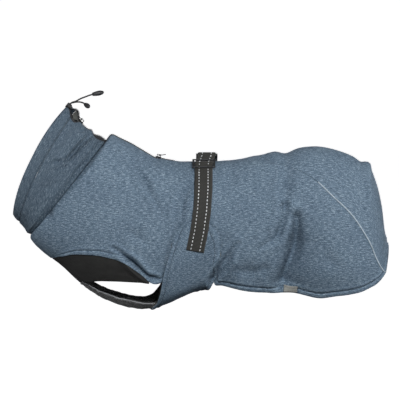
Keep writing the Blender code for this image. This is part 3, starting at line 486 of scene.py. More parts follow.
# How far the flanks hang in towards the hem behind the band, and out at the band's own hem.
Hang = namedtuple("Hang", "station distance")
HANG_INWARDS = [
    Hang(13.2, 0),
    Hang(14.4, 12),
    Hang(16.0, 19),
    Hang(18.0, 25),
    Hang(19.2, 28),
    Hang(20.4, 21),
    Hang(21.6, 11),
    Hang(23.4, 0),
]
HANG_OUTWARDS = [Hang(9.2, 0), Hang(10.2, 7), Hang(11.2, 10), Hang(12.4, 9), Hang(13.2, 0)]
RIGHT_HANG = 0.6  # the right side's share of the left one's


def read_table(table, at, value, where):
    """A table's column at values of another, evenly between its rows."""
    return np.interp(where, [getattr(row, at) for row in table], [getattr(row, value) for row in table])


def hang(station, turn, side):
    """How far the cloth of the lower flanks hangs further out, or in below zero, than the form."""
    low = np.clip((turn - 1.15) / 0.95, 0, 1.15)
    inwards = read_table(HANG_INWARDS, "station", "distance", station)
    # Under the belly the band hangs nearly straight, and turns sharply along the keel.
    outwards = read_table(HANG_OUTWARDS, "station", "distance", station)
    hem = outwards * np.exp(-(((turn - 2.62) / 0.34) ** 2)) * np.clip((pi - turn) / 0.3, 0, 1)
    return hem - (1.0 if side == LEFT else RIGHT_HANG) * inwards * low**1.4


def lift_skin(table, station, turn, side, lift):
    """Points of the cloth's outer face at a distance off it, and the directions out of it."""
    points = plain_skin(table, station, turn, side)
    out = normals(table, station, turn, side)
    if table is COLLAR:
        # The collar's last stretch runs on to the side panels' edge, so that the neck seam is shut.
        share = np.clip((station - 6.2) / 0.75, 0, 1)[..., None] ** 2
        points = points * (1 - share) + plain_skin(BODY, 0.02, turn, side) * share
    height = relief(table, points, station, turn, side)
    points = points + (height + lift)[..., None] * out
    if table is BODY:
        moved = hang(station, turn, side)
        points[..., 1] += side * moved
        points[..., 2] += 0.11 * np.minimum(moved, 0)
    return points, out


def both_sides(table, station, turn, lift):
    """As lift_skin, with angles below zero on the left side and above it on the right."""
    left, out_left = lift_skin(table, station, np.abs(turn), LEFT, lift)
    right, out_right = lift_skin(table, station, np.abs(turn), RIGHT, lift)
    # The sides' creases differ, so the two meet half way at the ridge and the keel.
    near_ridge = np.abs(turn) if table is BODY else 1.0
    near_middle = np.minimum(near_ridge, pi - np.abs(turn)) / 0.18
    share = np.clip(0.5 + 0.5 * np.sign(turn) * np.clip(near_middle, 0, 1), 0, 1)[..., None]
    mirrored = np.array([1, -1, 1])
    is_left = (np.asarray(turn) < 0)[..., None]
    on_left = left * (1 - share) + right * mirrored * share
    on_right = right * share + left * mirrored * (1 - share)
    return np.where(is_left, on_left, on_right), np.where(is_left, out_left, out_right)


# ---- Materials ---------------------------------------------------------------------------------


class Look:
    """One material, with short calls for its nodes."""

    def __init__(self, name, roughness, sheen=0.0, sheen_roughness=0.5):
        self.material = bpy.data.materials.new(name)
        self.material.use_nodes = True
        self.tree = self.material.node_tree
        self.shader = self.tree.nodes["Principled BSDF"]
        self.shader.inputs["Roughness"].default_value = roughness
        self.shader.inputs["Sheen Weight"].default_value = sheen
        self.shader.inputs["Sheen Roughness"].default_value = sheen_roughness
        self.normal = None

    def add(self, kind, **inputs):
        node = self.tree.nodes.new(kind)
        for name, value in inputs.items():
            self.put(node.inputs[name], value)
        return node

    def put(self, socket, value):
        if isinstance(value, bpy.types.NodeSocket):
            self.tree.links.new(value, socket)
        else:
            socket.default_value = value

    def place(self, along, across):
        """Coordinates along and across the cloth, times these scales."""
        source = self.tree.nodes.new("ShaderNodeAttribute")
        source.attribute_name = "cloth"
        node = self.tree.nodes.new("ShaderNodeVectorMath")
        node.operation = "MULTIPLY"
        self.put(node.inputs[0], source.outputs["Vector"])
        node.inputs[1].default_value = (along, across, 1)
        return node.outputs[0]

    def object_place(self, scale):
        source = self.tree.nodes.new("ShaderNodeTexCoord")
        node = self.tree.nodes.new("ShaderNodeVectorMath")
        node.operation = "SCALE"
        self.put(node.inputs[0], source.outputs["Object"])
        node.inputs["Scale"].default_value = scale
        return node.outputs[0]

    def noise(self, place, detail=2.0, roughness=0.5):
        node = self.add("ShaderNodeTexNoise", Vector=place, Detail=detail, Roughness=roughness, Scale=1.0)
        return node.outputs["Fac"]

    def wave(self, place, direction, distortion=0.0):
        node = self.add("ShaderNodeTexWave", Vector=place, Distortion=distortion, Scale=1.0)
        node.bands_direction = direction
        return node.outputs["Fac"]

    def math(self, operation, first, second=0.0):
        node = self.tree.nodes.new("ShaderNodeMath")
        node.operation = operation
        self.put(node.inputs[0], first)
        self.put(node.inputs[1], second)
        return node.outputs[0]

    def ramp(self, value, *stops):
        """A colour for each value. stops lists (position, colour)."""
        node = self.add("ShaderNodeValToRGB", Fac=value)
        band = node.color_ramp
        while len(band.elements) < len(stops):
            band.elements.new(0.5)
        for element, (position, colour) in zip(band.elements, stops):
            element.position = position
            element.color = (*colour, 1)
        return node.outputs["Color"]

    def multiply(self, colour, by):
        node = self.tree.nodes.new("ShaderNodeMix")
        node.data_type = "RGBA"
        node.blend_type = "MULTIPLY"
        node.inputs["Factor"].default_value = 1
        self.put(node.inputs["A"], colour)
        self.put(node.inputs["B"], by)
        return node.outputs["Result"]

    def bump(self, height, depth):
        """A bump of a depth in metres, on top of earlier ones."""
        node = self.add("ShaderNodeBump", Height=height, Distance=depth, Strength=1.0)
        if self.normal is not None:
            self.put(node.inputs["Normal"], self.normal)
        self.normal = node.outputs["Normal"]
        self.put(self.shader.inputs["Normal"], self.normal)

    def paint(self, colour):
        if not isinstance(colour, bpy.types.NodeSocket):
            colour = (*colour, 1)
        self.put(self.shader.inputs["Base Color"], colour)
        return self.material


WAVE_PERIOD = 2 * pi / 20  # of Blender's wave texture at scale 1, in metres


def waves_every(period):
    return WAVE_PERIOD / period


def softshell_look(name, tone):
    """Heathered blue cloth: short pale and dark streaks along the grain, over a fine knit. A tone below 1
    darkens every colour as painted shade.
    """
    look = Look(name, 0.88)
    streaks = look.noise(look.place(165, 820), 3, 0.62)
    flecks = look.noise(look.place(520, 1300), 2, 0.6)
    mixed = look.math("ADD", look.math("MULTIPLY", streaks, 0.55), look.math("MULTIPLY", flecks, 0.45))
    colours = ((0.040, 0.070, 0.110), (0.100, 0.153, 0.212), (0.136, 0.200, 0.270), (0.330, 0.420, 0.500))
    places = (0.39, 0.47, 0.53, 0.62)
    # tone scales every colour of the cloth; below 1 it is painted shade over the whole piece.
    stops = [(at, tuple(tone * part for part in colour)) for at, colour in zip(places, colours)]
    heather = look.ramp(mixed, *stops)
    patches = look.noise(look.place(18, 26), 3, 0.6)
    worn = look.ramp(patches, (0.30, (0.87, 0.88, 0.90)), (0.72, (1.11, 1.10, 1.08)))
    knit = look.math(
        "MULTIPLY",
        look.wave(look.place(waves_every(0.0012), 1), "X", 0.6),
        look.wave(look.place(1, waves_every(0.0008)), "Y", 0.6),
    )
    look.bump(knit, 0.00014)
    look.bump(flecks, 0.00008)
    look.bump(look.noise(look.place(130, 160), 3, 0.6), 0.00012)
    return look.paint(look.multiply(heather, worn))


def lining_look():
    look = Look("fleece lining", 0.98, 0.5, 0.6)
    pile = look.noise(look.place(900, 900), 4, 0.7)
    tufts = look.noise(look.place(260, 260), 2, 0.5)
    look.bump(tufts, 0.0009)
    look.bump(pile, 0.0006)
    return look.paint(look.ramp(pile, (0.35, (0.040, 0.045, 0.038)), (0.68, (0.130, 0.138, 0.116))))


def stretch_look():
    look = Look("black stretch cloth", 0.72, 0.08, 0.4)
    knit = look.wave(look.place(waves_every(0.0009), waves_every(0.0003)), "DIAGONAL", 0.4)
    look.bump(knit, 0.00010)
    look.bump(look.noise(look.place(90, 90), 3, 0.5), 0.0006)
    shade = look.noise(look.place(40, 60), 4, 0.6)
    return look.paint(look.ramp(shade, (0.3, (0.006, 0.006, 0.0055)), (0.7, (0.015, 0.015, 0.014))))


def strip_look():
    """Speckled black fleece."""
    look = Look("black fleece", 0.98, 0.35, 0.6)
    loops = look.noise(look.place(430, 430), 4, 0.78)
    look.bump(look.noise(look.place(330, 330), 2, 0.6), 0.0014)
    look.bump(loops, 0.0009)
    dark, middle, pale = (0.010, 0.010, 0.011), (0.046, 0.046, 0.048), (0.260, 0.262, 0.266)
    return look.paint(look.ramp(loops, (0.38, dark), (0.50, middle), (0.62, pale)))


def woven_look(name, dark, light, rib=0.0016):
    look = Look(name, 0.75, 0.15, 0.4)
    ribs = look.wave(look.place(waves_every(rib), 1), "X", 0.3)
    threads = look.wave(look.place(1, waves_every(0.0007)), "Y", 0.4)
    weave = look.math("MULTIPLY", ribs, threads)
    look.bump(weave, 0.0003)
    return look.paint(look.ramp(weave, (0.0, dark), (0.8, light)))


def plain_look(name, colour, roughness, fine_bump=0.00005, scale=1800):
    """Moulded or enamelled stuff with a fine grain and slight wear in its tone."""
    look = Look(name, roughness)
    fine = look.noise(look.object_place(scale), 2, 0.5)
    look.bump(fine, fine_bump)
    tone = look.noise(look.object_place(140), 3, 0.6)
    dark = tuple(0.75 * part for part in colour)
    light = tuple(1.35 * part for part in colour)
    return look.paint(look.ramp(tone, (0.3, dark), (0.7, light)))


# ---- Building in mesh --------------------------------------------------------------------------


def new_object(name, mesh, looks):
    for look in looks:
        mesh.materials.append(look)
    thing = bpy.data.objects.new(name, mesh)
    bpy.context.scene.collection.objects.link(thing)
    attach(thing, "coat")
    return thing


def cloth_mesh(name, outer, inner, place, keep=None):
    """A closed thin shell between two grids of points, sharing their edges' points where those meet.

    Its outer face has material 0 and its inner face material 1. place holds each point's
    coordinates along and across the cloth, in metres.
    """
    rows, columns = outer.shape[:2]
    if keep is None:
        keep = np.ones((rows - 1, columns - 1), bool)
    number = np.arange(rows * columns).reshape(rows, columns)
    quads = np.stack([number[:-1, :-1], number[:-1, 1:], number[1:, 1:], number[1:, :-1]], -1)[keep]
    sides = np.concatenate([quads[:, [0, 1]], quads[:, [1, 2]], quads[:, [2, 3]], quads[:, [3, 0]]])
    keys = sides.min(1) * rows * columns + sides.max(1)
    _, index, count = np.unique(keys, return_index=True, return_counts=True)
    rim = sides[index[count == 1]]
    total = rows * columns
    faces = [list(quad) for quad in quads]
    faces += [[corner + total for corner in quad[::-1]] for quad in quads]
    faces += [[b, a, a + total, b + total] for a, b in rim]
    points = np.concatenate([outer.reshape(-1, 3), inner.reshape(-1, 3)]) * MM
    mesh = bpy.data.meshes.new(name)
    mesh.from_pydata([tuple(point) for point in points], [], [[int(c) for c in face] for face in faces])
    inside = np.zeros(len(faces), np.int32)
    inside[len(quads) : 2 * len(quads)] = 1
    mesh.polygons.foreach_set("material_index", inside)
    coordinates = np.tile(place.reshape(-1, 2), (2, 1)) * MM
    coordinates = np.concatenate([coordinates, np.zeros((len(coordinates), 1))], 1)
    layer = mesh.attributes.new("cloth", "FLOAT_VECTOR", "POINT")
    layer.data.foreach_set("vector", coordinates.astype(np.float32).ravel())
    work = bmesh.new()
    work.from_mesh(mesh)
    bmesh.ops.remove_doubles(work, verts=work.verts, dist=2e-6)
    loose = [vertex for vertex in work.verts if not vertex.link_faces]
    bmesh.ops.delete(work, geom=loose, context="VERTS")
    if work.calc_volume(signed=True) < 0:
        bmesh.ops.reverse_faces(work, faces=work.faces)
    work.to_mesh(mesh)
    work.free()
    mesh.shade_smooth()
    return mesh


def rounding(edge, radius):
    """How far a face sinks towards the middle of the wall, this far from a raw edge."""
    near = np.clip(1 - edge / radius, 0, 1)
    return radius * (1 - np.sqrt(1 - near**2))


def rows_between(table, stations, upper, lower, near, far, step):
    """Angles of a grid's rows at distances from the two edges of each column, evenly between.

    Also gives each point's distance down its column, and each column's length.
    """
    samples = 160
    part = np.linspace(0, 1, samples)[:, None]
    turns = upper[None, :] * (1 - part) + lower[None, :] * part
    points = plain_skin(table, np.broadcast_to(stations, turns.shape), turns, LEFT)
    steps = np.linalg.norm(np.diff(points, axis=0), axis=-1)
    reached = np.concatenate([np.zeros((1, len(stations))), np.cumsum(steps, axis=0)])
    lengths = reached[-1]
    near, far = np.array(near, float), np.array(far, float)[::-1]
    squeeze = np.minimum(1, 0.8 * lengths / (near[-1] + far[0]))
    first = near[:, None] * squeeze
    last = lengths - far[:, None] * squeeze
    count = max(2, int(np.ceil((lengths.max() - near[-1] - far[0]) / step)))
    part = (np.arange(1, count) / count)[:, None]
    middle = first[-1] * (1 - part) + last[0] * part
    down = np.concatenate([first, middle, last])
    found = np.stack([np.interp(down[:, k], reached[:, k], turns[:, k]) for k in range(len(stations))], 1)
    return found, down, lengths


def stations_between(table, start, end, near, far, step):
    """Stations at distances in millimetres from both ends, measured along the flank, evenly between."""
    fine = np.linspace(start, end, 400)
    points = plain_skin(table, fine, np.full(400, 0.45 * pi), LEFT)
    reached = run_length(points)
    length = reached[-1]
    near, far = np.array(near, float), length - np.array(far, float)[::-1]
    count = max(2, int(np.ceil((far[0] - near[-1]) / step)))
    middle = np.linspace(near[-1], far[0], count + 1)[1:-1]
    return np.interp(np.concatenate([near, middle, far]), reached, fine)


def grain(points, anchor):
    """Coordinates on the cloth: along it by x, and down it from the anchor row's height."""
    fall = np.linalg.norm(np.diff(points[..., 1:], axis=0), axis=-1)
    down = np.concatenate([np.zeros((1, points.shape[1])), np.cumsum(fall, axis=0)])
    at = anchor, np.arange(points.shape[1])
    down = down - down[at] - points[..., 2][at]
    return np.stack([points[..., 0], down], -1)


def cloth_piece(name, node, outer, inner, place, looks, keep=None):
    """A shell of cloth that stands for a CAD node."""
    piece = new_object(name, cloth_mesh(name, outer, inner, place, keep), looks)
    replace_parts(piece, node)


# ---- The cloth pieces --------------------------------------------------------------------------

EDGE_ROWS = [0, 0.12, 0.4, 0.9, 1.6]  # distances from a raw edge, in millimetres
HEM = 6.6  # from a hem's edge to its stitching
HEM_ROWS = EDGE_ROWS + [2.6, 4.0, 5.2, 6.0, 6.6, 7.2, 8.2, 10.0]
FOLD_ROWS = [0, 0.4, 1.2]  # distances from a line where a panel's edge turns
STEP = 2.3  # between a panel's grid lines
SIDE_START = 0.03  # the station of the side panels' front edge
MIDDLE_GAP = 0.03  # from the middle to a seam that shuts on it
SEAM_TURN_GAP = 0.0008  # from the rump's seam to each cloth's edge, in radians
NECK_STATION = 9.5  # millimetres between two sections by the neck
CHEST_STATION = 24
TAIL_STATION = 28


def hem_relief(distance):
    """A turned hem: a doubled edge, a groove along the stitches, and cloth that puffs above it."""
    doubled = 1.0 * np.clip((HEM + 0.8 - distance) / 1.6, 0, 1)
    groove = 1.7 * np.exp(-(((distance - HEM) / 1.1) ** 2))
    puff = 0.9 * np.exp(-(((distance - HEM - 4.0) / 2.6) ** 2))
    return doubled - groove + puff


def pucker(distance, along, seed):
    """Small gathers across a row of stitches."""
    near = np.exp(-(((distance - HEM) / 4.5) ** 2))
    return 0.22 * near * soft_noise(along, distance / 3, 5.0, seed)


def lay(points, out, height):
    return points + height[..., None] * out


def hem_at(stations):
    """The fraction of the way down where the side panels end and the chest panel starts."""
    return column(BODY, stations, "edge_at") - 0.013 * bump_between(stations, 3.0, 3.75)


def side_panel(side, name, node, looks):
    stations = np.concatenate(
        [
            stations_between(BODY, SIDE_START, CHEST_FRONT, EDGE_ROWS + [3, 5], FOLD_ROWS, STEP),
            stations_between(BODY, CHEST_FRONT + 0.01, SIDE_END, FOLD_ROWS, EDGE_ROWS, STEP),
        ]
    )
    zip_edge = angle_of_width(BODY, stations, ZIP_HALF_WIDTH)
    back_seam = angle_of_width(BODY, stations, MIDDLE_GAP)
    # The zip's slit closes in a short taper at its lower end.
    closed = np.clip((stations - ZIP_END) / 0.12, 0, 1)
    upper = zip_edge * (1 - closed) + back_seam * closed
    gusset = seam_angle(stations) + SEAM_TURN_GAP
    upper = np.where(stations > SEAM_APEX, np.maximum(gusset, back_seam), upper)
    keel = angle_of_width(BODY, stations, MIDDLE_GAP, near_keel=True)
    edge = np.minimum(angle(BODY, stations, hem_at(stations)), keel)
    lower = np.where(stations < CHEST_FRONT, keel, edge)
    turn, down, lengths = rows_between(BODY, stations, upper, lower, EDGE_ROWS, HEM_ROWS, STEP)
    station = np.broadcast_to(stations, turn.shape)
    points, out = both_sides(BODY, station, side * turn, 0.0)
    from_hem = lengths - down
    along = np.broadcast_to(run_along(points)[len(turn) // 2], turn.shape)
    has_hem = np.clip((station - CHEST_FRONT) / 0.5, 0, 1)
    height = has_hem * (hem_relief(from_hem) + pucker(from_hem, along, 31))
    height = height + crease_height(seen_from_side(points), UNDER_BAND)
    from_ends = np.minimum((station - SIDE_START) * NECK_STATION, (SIDE_END - station) * TAIL_STATION)
    edge_distance = np.minimum(np.minimum(down, from_hem), from_ends)
    sunk = rounding(edge_distance, WALL / 2)
    outer = lay(points, out, height - sunk)
    inner = lay(points, out, 0.5 * height - WALL + sunk)
    anchor = np.argmin(np.abs(turn[:, len(stations) // 2] - pi / 2))
    place = grain(plain_skin(BODY, station, turn, side), anchor)
    cloth_piece(name, node, outer, inner, place, looks)
    row = np.argmin(np.abs(from_hem[:, -1] - HEM))
    shown = stations > CHEST_FRONT + 0.1
    return outer[row, shown], out[row, shown]


def seam_angle(station):
    """The angle of the rump's seam, which leaves the ridge at its apex."""
    grown = np.clip((np.asarray(station, float) - SEAM_APEX) / 0.5, 0, 1)
    return angle(BODY, station, grown * column(BODY, station, "seam_at"))


def rump_panel(looks):
    """The gusset over the rump, between the two pipings, down to the hem over the tail."""
    stations = stations_between(BODY, SEAM_APEX + 0.04, TAIL, EDGE_ROWS, HEM_ROWS, STEP)
    half = np.maximum(seam_angle(stations) - SEAM_TURN_GAP, 0.002)
    edge_share = np.array([1.0, 0.9985, 0.994, 0.986, 0.974])
    middle = np.linspace(0, 0.955, 30)
    share = np.concatenate([-edge_share, -middle[:0:-1], middle, edge_share[::-1]])[:, None]
    turn = share * half[None, :]
    station = np.broadcast_to(stations, turn.shape)
    points, out = both_sides(BODY, station, turn, 0.0)
    arc = np.linalg.norm(np.diff(points, axis=0), axis=-1)
    reached = np.concatenate([np.zeros((1, len(stations))), np.cumsum(arc, axis=0)])
    from_seam = np.minimum(reached, reached[-1] - reached)
    run = np.linalg.norm(np.diff(points, axis=1), axis=-1)
    run = np.concatenate([np.zeros((len(turn), 1)), np.cumsum(run, axis=1)], 1)
    from_hem = run[:, -1:] - run
    height = hem_relief(from_hem) + pucker(from_hem, reached, 33)
    sunk = rounding(np.minimum(from_seam, from_hem), WALL / 2)
    outer = lay(points, out, height - sunk)
    inner = lay(points, out, 0.5 * height - WALL + sunk)
    place = np.stack([run, reached - reached[-1] / 2], -1)
    cloth_piece("softshell_rump_panel", "rump_panel", outer, inner, place, looks)
    at_hem = np.argmin(np.abs(from_hem[len(turn) // 2] - HEM))
    return outer[:, at_hem], out[:, at_hem]


def collar_opening(station, side):
    return read_table(OPENING, "station", "left" if side == LEFT else "right", station)


def collar_grid(stations, count):
    """Angles from one edge of the zip round the throat to the other, and the distance to the edge."""
    left_edge = angle_of_width(COLLAR, stations, collar_opening(stations, LEFT))
    right_edge = angle_of_width(COLLAR, stations, collar_opening(stations, RIGHT))
    fine = np.array([1.0, 0.9992, 0.9965, 0.992, 0.986])
    middle = np.linspace(0, 0.976, count)
    share = np.concatenate([-fine, -middle[:0:-1], middle, fine[::-1]])[:, None]
    edge = np.where(share < 0, left_edge, right_edge)
    turned = edge + (1 - np.abs(share)) * (pi - edge)
    turn = np.where(share < 0, -turned, turned)
    return np.broadcast_to(stations, turn.shape), turn


def arc_down(points):
    arc = np.linalg.norm(np.diff(points, axis=0), axis=-1)
    return np.concatenate([np.zeros((1, points.shape[1])), np.cumsum(arc, axis=0)])


def run_along(points):
    run = np.linalg.norm(np.diff(points, axis=1), axis=-1)
    return np.concatenate([np.zeros((len(points), 1)), np.cumsum(run, axis=1)], 1)


FAR = 99  # further than any edge counts
CASING_END = 0.985
CASING_STITCH = 0.90


def collar_piece(name, node, start, end, lift, thickness, looks):
    casing = end < 2
    step = 1.3 if casing else 1.8
    stations = stations_between(COLLAR, start, end, EDGE_ROWS, EDGE_ROWS, step)
    station, turn = collar_grid(stations, 110)
    points, out = both_sides(COLLAR, station, turn, lift)
    reached, run = arc_down(points), run_along(points)
    from_opening = np.minimum(reached, reached[-1] - reached)
    from_ends = np.minimum(run, run[:, -1:] - run)
    height = np.zeros(turn.shape)
    if casing:
        height += 0.6 * bump_between(station, 0.0, CASING_STITCH)
        height -= 0.9 * np.exp(-(((station - CASING_STITCH) * 14 / 0.9) ** 2))
    sunk = rounding(np.minimum(from_opening, from_ends), thickness / 2)
    outer = lay(points, out, height - sunk)
    inner = lay(points, out, sunk - thickness)
    plain = plain_skin(COLLAR, station, np.abs(turn), np.sign(turn))
    place = np.stack([arc_down(plain), run_along(plain)], -1)
    cloth_piece(name, node, outer, inner, place, looks)
    return outer, out, stations


TUCK = 5.0  # how far the chest panel runs up behind a hem
TUCK_TURN = 0.075  # the same, in radians


def chest_panel(looks):
    """The black front, closed over the keel, with a tongue over each leg hole."""
    front = stations_between(BODY, 3.12, CHEST_REAR, EDGE_ROWS, [0, 0.5, 1.2], 1.8)
    tongue = stations_between(BODY, CHEST_REAR + 0.02, TONGUE_END, [0, 0.5, 1.2], EDGE_ROWS, 1.8)
    stations = np.concatenate([front, tongue])
    # Its upper edge is sewn behind the side panels' hems, save at the keel.
    tucked = np.clip((stations - 3.3) / 0.5, 0, 1)
    upper = angle(BODY, stations, hem_at(stations)) + 0.004 * (1 - tucked) - TUCK_TURN * tucked
    leg = angle(BODY, stations, column(BODY, stations, "leg_at"))
    split = np.where(stations <= CHEST_REAR, upper + (pi - upper) * 0.62, leg)
    at_rear = angle(BODY, CHEST_REAR, BODY[5].leg_at)
    reach = np.clip((front - front[0]) / (front[-1] - front[0]), 0, 1)
    split[: len(front)] = split[: len(front)] * (1 - reach) + at_rear * reach
    fine = np.array([0, 0.006, 0.02, 0.045, 0.08])
    part = np.concatenate([fine, np.linspace(0.12, 0.88, 18), 1 - fine[::-1]])[:, None]
    high = upper[None, :] * (1 - part) + split[None, :] * part
    deep_part = np.concatenate([fine[1:], np.linspace(0.12, 1, 12)])[:, None]
    deep = split[None, :] * (1 - deep_part) + pi * deep_part
    half = np.concatenate([high, deep])
    turn = np.concatenate([-half, half[-2::-1]])
    station = np.broadcast_to(stations, turn.shape)
    keep = np.ones((turn.shape[0] - 1, turn.shape[1] - 1), bool)
    leg_row = len(part) - 1
    keep[leg_row:-leg_row, len(front) - 1 :] = False
    points, out = both_sides(BODY, station, turn, 0.0)
    reached, run = arc_down(points), run_along(points)
    from_top = np.minimum(reached, reached[-1] - reached)
    to_leg = np.minimum(np.abs(reached - reached[leg_row]), np.abs(reached - reached[-leg_row - 1]))
    to_leg = np.where(station > CHEST_REAR, to_leg, FAR)
    inner_rows = np.arange(len(turn))[:, None]
    middle = (inner_rows > leg_row) & (inner_rows < len(turn) - 1 - leg_row)
    to_strip = np.where(middle & (station <= CHEST_REAR), (CHEST_REAR - station) * CHEST_STATION, FAR)
    edge = np.minimum(np.minimum(from_top, to_leg), np.minimum(to_strip, run[:, -1:] - run))
    below_hem = np.maximum(from_top - TUCK * tucked, 0)
    height = -0.8 - 1.2 * np.exp(-((below_hem / 3) ** 2))
    sunk = rounding(edge, THIN_WALL / 2)
    outer = lay(points, out, height - sunk)
    inner = lay(points, out, height - THIN_WALL + sunk)
    place = np.stack([run, reached], -1)
    cloth_piece("stretch_chest_panel", "chest_panel", outer, inner, place, looks, keep)


def band_edges(fraction):
    return read_table(BAND, "at", "front", fraction), read_table(BAND, "at", "rear", fraction)


def chest_strip(looks):
    """The strip between the forelegs, its edges curled up."""
    half_width = 28.0
    wide_end = 31.0
    climb = 23.0  # how much further the right edge runs up the band's front edge
    curl = 6.5
    columns, rows = 90, 61
    part = np.linspace(0, 1, columns)[None, :]
    share = np.sin(np.linspace(-pi / 2, pi / 2, rows))[:, None]
    reach = half_width + (wide_end - half_width) * (np.abs(2 * part - 1) ** 3)
    reach = reach + np.where(share > 0, climb, 2.0) * np.clip((part - 0.66) / 0.34, 0, 1) ** 2
    middle = CHEST_REAR + (9.0 - CHEST_REAR) * part
    turn = angle_of_width(BODY, middle, np.abs(share) * reach, near_keel=True)
    widest = column(BODY, 9.3, "widest_at")
    fraction = widest + (1 - widest) * np.abs(np.cos(turn[:, -1:])) ** BOXINESS
    end = band_edges(fraction)[0] + 0.1
    station = CHEST_REAR + 0.012 + (end - CHEST_REAR - 0.012) * part
    signed = np.where(share < 0, -turn, turn)
    rise = curl * np.sin(pi * part) ** 0.6 * share**2
    points, out = both_sides(BODY, station, signed, 0.0)
    keel_rise = np.interp(part, [0, 0.25, 0.5, 0.8, 1], [0.8, 0.4, -1.0, -2.4, -1.2])
    points[..., 2] += rise + keel_rise * (1 - share**2)
    reached, run = arc_down(points), run_along(points)
    edge = np.minimum(reached, reached[-1] - reached)
    edge = np.minimum(edge, np.minimum(run, run[:, -1:] - run))
    nap = 0.35 * soft_noise(run, reached, 1.7, 41) + 0.5 * soft_noise(run, reached, 6.0, 42)
    thick_edge = 0.9 * np.exp(-(((edge - 2.0) / 1.4) ** 2))
    sunk = rounding(edge, THIN_WALL / 2)
    outer = lay(points, out, nap + thick_edge - sunk)
    inner = lay(points, out, nap - THIN_WALL + sunk)
    place = np.stack([run, reached], -1)
    cloth_piece("fleece_chest_strip", "chest_strip", outer, inner, place, looks)
    return outer


def belly_band(looks):
    """The band round the belly, round-ended on both flanks, outside the side panels."""
    start = BAND[0].at
    down = start + (1 - start) * np.linspace(0, 1, 90) ** 1.35
    fraction = np.concatenate([down, down[-2::-1]])
    sign = np.concatenate([-np.ones(len(down)), np.ones(len(down) - 1)])
    front, rear = band_edges(fraction)
    fine = np.array([0, 0.003, 0.01, 0.022, 0.04, 0.065, 0.09, 0.115, 0.14])
    share = np.concatenate([fine, np.linspace(0.18, 0.82, 24), 1 - fine[::-1]])[None, :]
    station = front[:, None] * (1 - share) + rear[:, None] * share
    turn = angle(BODY, station, fraction[:, None]) * sign[:, None]
    points, out = both_sides(BODY, station, turn, LAP_GAP + WALL)
    reached, run = arc_down(points), run_along(points)
    corner = np.minimum(reached, reached[-1] - reached)
    edge = np.minimum(corner, np.minimum(run, run[:, -1:] - run))
    height = hem_relief(edge) + pucker(edge, reached, 35)
    sunk = rounding(edge, WALL / 2)
    outer = lay(points, out, height - sunk)
    inner = lay(points, out, 0.4 * height + sunk - WALL)
    cloth_piece("softshell_belly_band", "belly_band", outer, inner, np.stack([run, reached], -1), looks)
    return outer, out, run


def line_across(skin, out, from_edge, distance):
    """Each row's point at a distance from its edge, and the direction out of the cloth there."""
    places, outwards = [], []
    for row in range(len(skin)):
        order = np.argsort(from_edge[row])
        reached = from_edge[row][order]
        places.append([np.interp(distance, reached, skin[row, order, axis]) for axis in range(3)])
        outwards.append([np.interp(distance, reached, out[row, order, axis]) for axis in range(3)])
    return np.array(places), unit(np.array(outwards))


def band_stitches(skin, out, run, look):
    """The row of stitches along both edges of the band."""
    width = run[:, -1:]
    wide = width[:, 0] > 2.2 * HEM
    for name, from_edge in (("band_stitches_front", run), ("band_stitches_rear", width - run)):
        places, outwards = line_across(skin[wide], out[wide], from_edge[wide], HEM)
        stitch_row(name, places, outwards, look)


# ---- Small repeated things: stitches, dashes and teeth ------------------------------------------


def unit(vectors):
    return vectors / np.maximum(np.linalg.norm(vectors, axis=-1, keepdims=True), 1e-9)


def bead_form(sides=6):
    """A stitch: a rod along X with pointed ends, half a unit long each way and one unit thick."""
    rings = [(-0.5, 0.0), (-0.36, 0.42), (-0.12, 0.5), (0.12, 0.5), (0.36, 0.42), (0.5, 0.0)]
    points, starts = [], []
    for x, radius in rings:
        starts.append(len(points))
        count = 1 if radius == 0 else sides
        for step in range(count):
            turn = 2 * pi * step / sides
            points.append((x, radius * cos(turn), radius * sin(turn)))
    faces = []
    for number in range(len(rings) - 1):
        low, high = starts[number], starts[number + 1]
        for step in range(sides):
            after = (step + 1) % sides
            if rings[number][1] == 0:
                faces.append((low, high + after, high + step))
            elif rings[number + 1][1] == 0:
                faces.append((low + step, low + after, high))
            else:
                faces.append((low + step, low + after, high + after, high + step))
    return np.array(points), faces


def pad_form():
    """A low pad, one unit along X and Y and from -1 to 1 in Z, with rounded corners and top."""
    levels = [(-1.0, 1.0), (0.35, 1.0), (0.8, 0.93), (1.0, 0.78)]
    outline = [(0.5, 0.3), (0.42, 0.44), (0.28, 0.5), (-0.28, 0.5), (-0.42, 0.44), (-0.5, 0.3)]
    outline += [(-x, -y) for x, y in outline]
    count = len(outline)
    points = [(x * scale, y * scale, z) for z, scale in levels for x, y in outline]
    faces = []
    for level in range(len(levels) - 1):
        for step in range(count):
            after = (step + 1) % count
            low, high = level * count, (level + 1) * count
            faces.append((low + step, low + after, high + after, high + step))
    faces.append(tuple(range(count))[::-1])
    faces.append(tuple((len(levels) - 1) * count + step for step in range(count)))
    return np.array(points), faces


BEAD = bead_form()
PAD = pad_form()


def scatter(name, form, places, along, out, size, look):
    """Copies of a small form at places, X along and Z out. size is (length, width, height) in mm."""
    template, faces = form
    along = unit(along - (along * out).sum(-1, keepdims=True) * out)
    across = np.cross(out, along)
    scaled = template * np.array(size)
    points = (
        places[:, None, :]
        + scaled[None, :, 0:1] * along[:, None, :]
        + scaled[None, :, 1:2] * across[:, None, :]
        + scaled[None, :, 2:3] * out[:, None, :]
    )
    count = len(template)
    all_faces = [
        tuple(corner + count * copy for corner in face) for copy in range(len(places)) for face in faces
    ]
    mesh = bpy.data.meshes.new(name)
    mesh.from_pydata([tuple(point) for point in points.reshape(-1, 3) * MM], [], all_faces)
    mesh.shade_smooth()
    return new_object(name, mesh, [look])


def run_length(points):
    """The distance along a line at each of its points."""
    return np.concatenate([[0], np.cumsum(np.linalg.norm(np.diff(points, axis=0), axis=1))])


def read_line(values, reached, where):
    """Rows of values, read at distances along the line that they lie on."""
    return np.stack([np.interp(where, reached, part) for part in values.T], 1)


